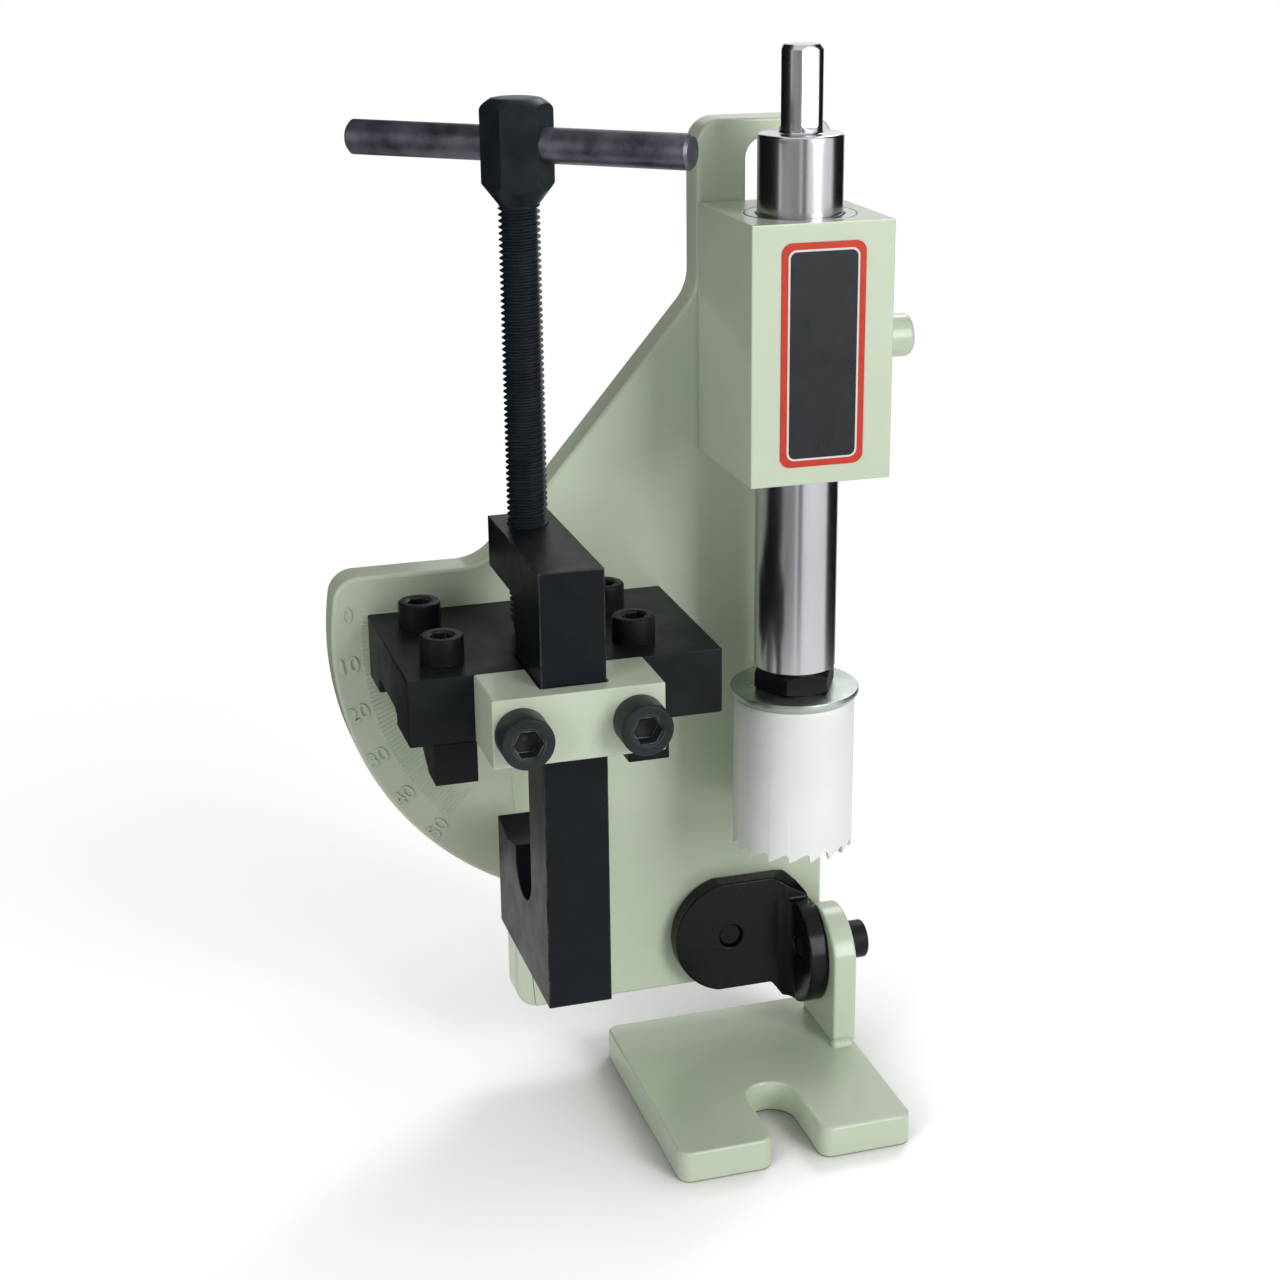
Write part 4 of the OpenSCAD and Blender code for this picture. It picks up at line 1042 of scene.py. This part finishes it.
def shank_radius(outer, height):
    """The shank's radius with its three flats, which run out near the shoulder."""
    share = min(1.0, max(0.0, (height - shoulder - FLAT_START) / RUN_OUT))
    depth = FLAT_R + (SHANK_R - FLAT_R) * (1 - math.sin(share * math.pi / 2))
    third = math.tau / 3
    return lambda angle: min(outer, depth / math.cos((angle - FLAT_TURN + third / 2) % third - third / 2))


# The rows 1 mm inside each chamfer keep the shading of the long cylinder even
spindle_rows = [
    (0, spindle_low.z), (STUD_R, spindle_low.z), (STUD_R, nose), (SPINDLE_R - NOSE_CHAMFER, nose),
    (SPINDLE_R, nose + NOSE_CHAMFER), (SPINDLE_R, nose + NOSE_CHAMFER + 1 * MM),
    (SPINDLE_R, shoulder - NOSE_CHAMFER - 1 * MM),
]
spindle_rows += rounded_corner(SPINDLE_R - NOSE_CHAMFER, shoulder - NOSE_CHAMFER, NOSE_CHAMFER, 0, 90, 5)
spindle_rows += rounded_corner(SHANK_R + SHANK_FILLET, shoulder + SHANK_FILLET, SHANK_FILLET, 270, 180, 4)
for i in range(13):
    height = shoulder + FLAT_START + RUN_OUT * i / 12
    spindle_rows.append((shank_radius(SHANK_R, height), height))
tip_foot = spindle_high.z - TIP_CHAMFER
for height in (tip_foot, spindle_high.z - 1.0 * MM, spindle_high.z - 0.6 * MM, spindle_high.z):
    outer = SHANK_R - max(0.0, height - tip_foot) * TIP_SLOPE
    spindle_rows.append((shank_radius(outer, height), height))
spindle_rows.append((0, spindle_high.z))


def on_spindle(mesh, material, node):
    """Puts a mesh on the spindle's axis, as a dressed piece with the mesh's name."""
    mesh.transform(Matrix.Translation(spindle_axis))
    dress(add_object(mesh.name, mesh), "spindle", material, [node])


polished = ground_steel("polished_spindle", (0.60, 0.60, 0.63), (0.50, 0.50, 0.53), 0.17, 0.27, 3000.0)
on_spindle(turned("spindle_ground", spindle_rows, 192), polished, "spindle")

# Arbor nut
# A blackened hexagon nut, chamfered at both faces, that locks the saw against the spindle's nose.
NUT_FLATS = 23 * MM
NUT_CHAMFER = 1.4 * MM
nut_corner = corner_radius(NUT_FLATS)
nut_face_r = NUT_FLATS / 2 - 0.3 * MM
NUT_ROWS = 10


def nut_radius(share):
    """The nut's radius at a share of the way from its face circle to its corners."""
    return hexagon(NUT_FLATS, limit=nut_face_r + (nut_corner - nut_face_r) * share)


shares = [i / NUT_ROWS for i in range(NUT_ROWS + 1)]
nut_rows = [(0, nut_low.z)]
nut_rows += [(nut_radius(share), nut_low.z + NUT_CHAMFER * share * 0.6) for share in shares]
nut_rows += [(nut_radius(1 - share), nut_high.z - NUT_CHAMFER * (1 - share)) for share in shares]
nut_rows.append((0, nut_high.z))
nut_steel = blackened("blackened_nut", (0.012, 0.015, 0.018), (0.008, 0.009, 0.011), (0.09, 0.10, 0.11), 0.9)
on_spindle(turned("arbor_nut_turned", nut_rows, 192), nut_steel, "arbor_nut")

# Flange above the saw
# A zinc-plated steel disc, bevelled underneath, that the saw's closed end is fixed to.
flange_low, flange_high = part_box("saw_flange")
FLANGE_R = (flange_high.x - flange_low.x) / 2
saw_low, saw_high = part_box("saw_cup")
SAW_R = (saw_high.x - saw_low.x) / 2
FLANGE_EASE = 0.3 * MM
FLANGE_LAND = 1.5 * MM
flange_rows = [
    (0, flange_low.z), (SAW_R - 0.1 * MM, flange_low.z),
    (FLANGE_R - 0.15 * MM, flange_high.z - FLANGE_LAND - 0.2 * MM), (FLANGE_R, flange_high.z - FLANGE_LAND),
]
flange_rows += rounded_corner(FLANGE_R - FLANGE_EASE, flange_high.z - FLANGE_EASE, FLANGE_EASE, 0, 90, 5)
flange_rows += [(STUD_R, flange_high.z), (0, flange_high.z)]
plated = zinc_plated("plated_flange", (0.52, 0.57, 0.53), (0.38, 0.43, 0.38))
on_spindle(turned("saw_flange_plated", flange_rows, 128), plated, "saw_flange")

# Saw cup
# A bi-metal hole saw in white enamel. Its rim is milled into hooked teeth with round gullets, set in and
# out in turn.
SAW_WALL = 1.4 * MM
SAW_END = 5 * MM
TEETH = 18
TOOTH_DEPTH = 2.8 * MM
TOOTH_STEPS = 20
TOOTH_SET = 0.35 * MM
TOOTH_PHASE = math.radians(-93)
BACK_END = 0.6
BACK_RISE = 0.8
GULLET_END = 0.85


def tooth_height(share):
    """Height of the rim over one tooth: the long back, the round gullet and the next tooth's steep face."""
    if share < BACK_END:
        return BACK_RISE * share / BACK_END
    if share < GULLET_END:
        round_share = (share - BACK_END) / (GULLET_END - BACK_END)
        return BACK_RISE + (1 - BACK_RISE) * math.sin(round_share * math.pi / 2)
    return math.sqrt(1 - ((share - GULLET_END) / (1 - GULLET_END)) ** 2)


def saw_mesh(name):
    """The cup as one closed skin, from the outside of the rim over the top and down the inside."""
    bm = bmesh.new()
    steps = TEETH * TOOTH_STEPS
    closed_top = saw_high.z
    inner_top = closed_top - SAW_END
    inner_r = SAW_R - SAW_WALL
    teeth_top = saw_low.z + TOOTH_DEPTH * 1.6
    columns = []
    for i in range(steps):
        angle = TOOTH_PHASE + math.tau * i / steps
        tooth, step = divmod(i, TOOTH_STEPS)
        rise = tooth_height(step / TOOTH_STEPS) * TOOTH_DEPTH
        set_out = (0, 1, -1)[tooth % 3] * TOOTH_SET * (1 - rise / TOOTH_DEPTH)
        rim = saw_low.z + rise
        rings = [
            (SAW_R + set_out, rim), (SAW_R, teeth_top), (SAW_R, closed_top - 2 * MM),
            (SAW_R, closed_top - 1.0 * MM), (SAW_R - 0.3 * MM, closed_top - 0.3 * MM),
            (SAW_R - 1.0 * MM, closed_top), (inner_r - 1.0 * MM, inner_top), (inner_r, inner_top - 1.0 * MM),
            (inner_r, teeth_top), (inner_r + set_out, rim),
        ]
        columns.append([bm.verts.new((r * math.cos(angle), r * math.sin(angle), z)) for r, z in rings])
    top_pole = bm.verts.new((0, 0, closed_top))
    inner_pole = bm.verts.new((0, 0, inner_top))
    for i in range(steps):
        here, there = columns[i], columns[(i + 1) % steps]
        for k in range(9):
            if k == 5:
                bm.faces.new((here[k], there[k], top_pole))
                bm.faces.new((inner_pole, there[k + 1], here[k + 1]))
            else:
                bm.faces.new((here[k], there[k], there[k + 1], here[k + 1]))
        bm.faces.new((here[9], there[9], there[0], here[0]))
    bmesh.ops.recalc_face_normals(bm, faces=bm.faces)
    return mesh_of(bm, name, SMOOTH_BELOW)


# White enamel, slightly uneven, and greyer along its edges at the rim and the teeth
enamel, *look = mottled("white_enamel", (0.86, 0.88, 0.86), (0.80, 0.83, 0.81), scale=55.0, spread=0.25,
                        rough=(0.38, 0.50), constants={})
rubbed(*look, radius=0.5 * MM, gain=1.1, colour=(0.55, 0.57, 0.56))
coated(*look, scale=600.0, distance=0.05 * MM, strength=0.4)
on_spindle(saw_mesh("saw_cup_enamelled"), enamel, "saw_cup")
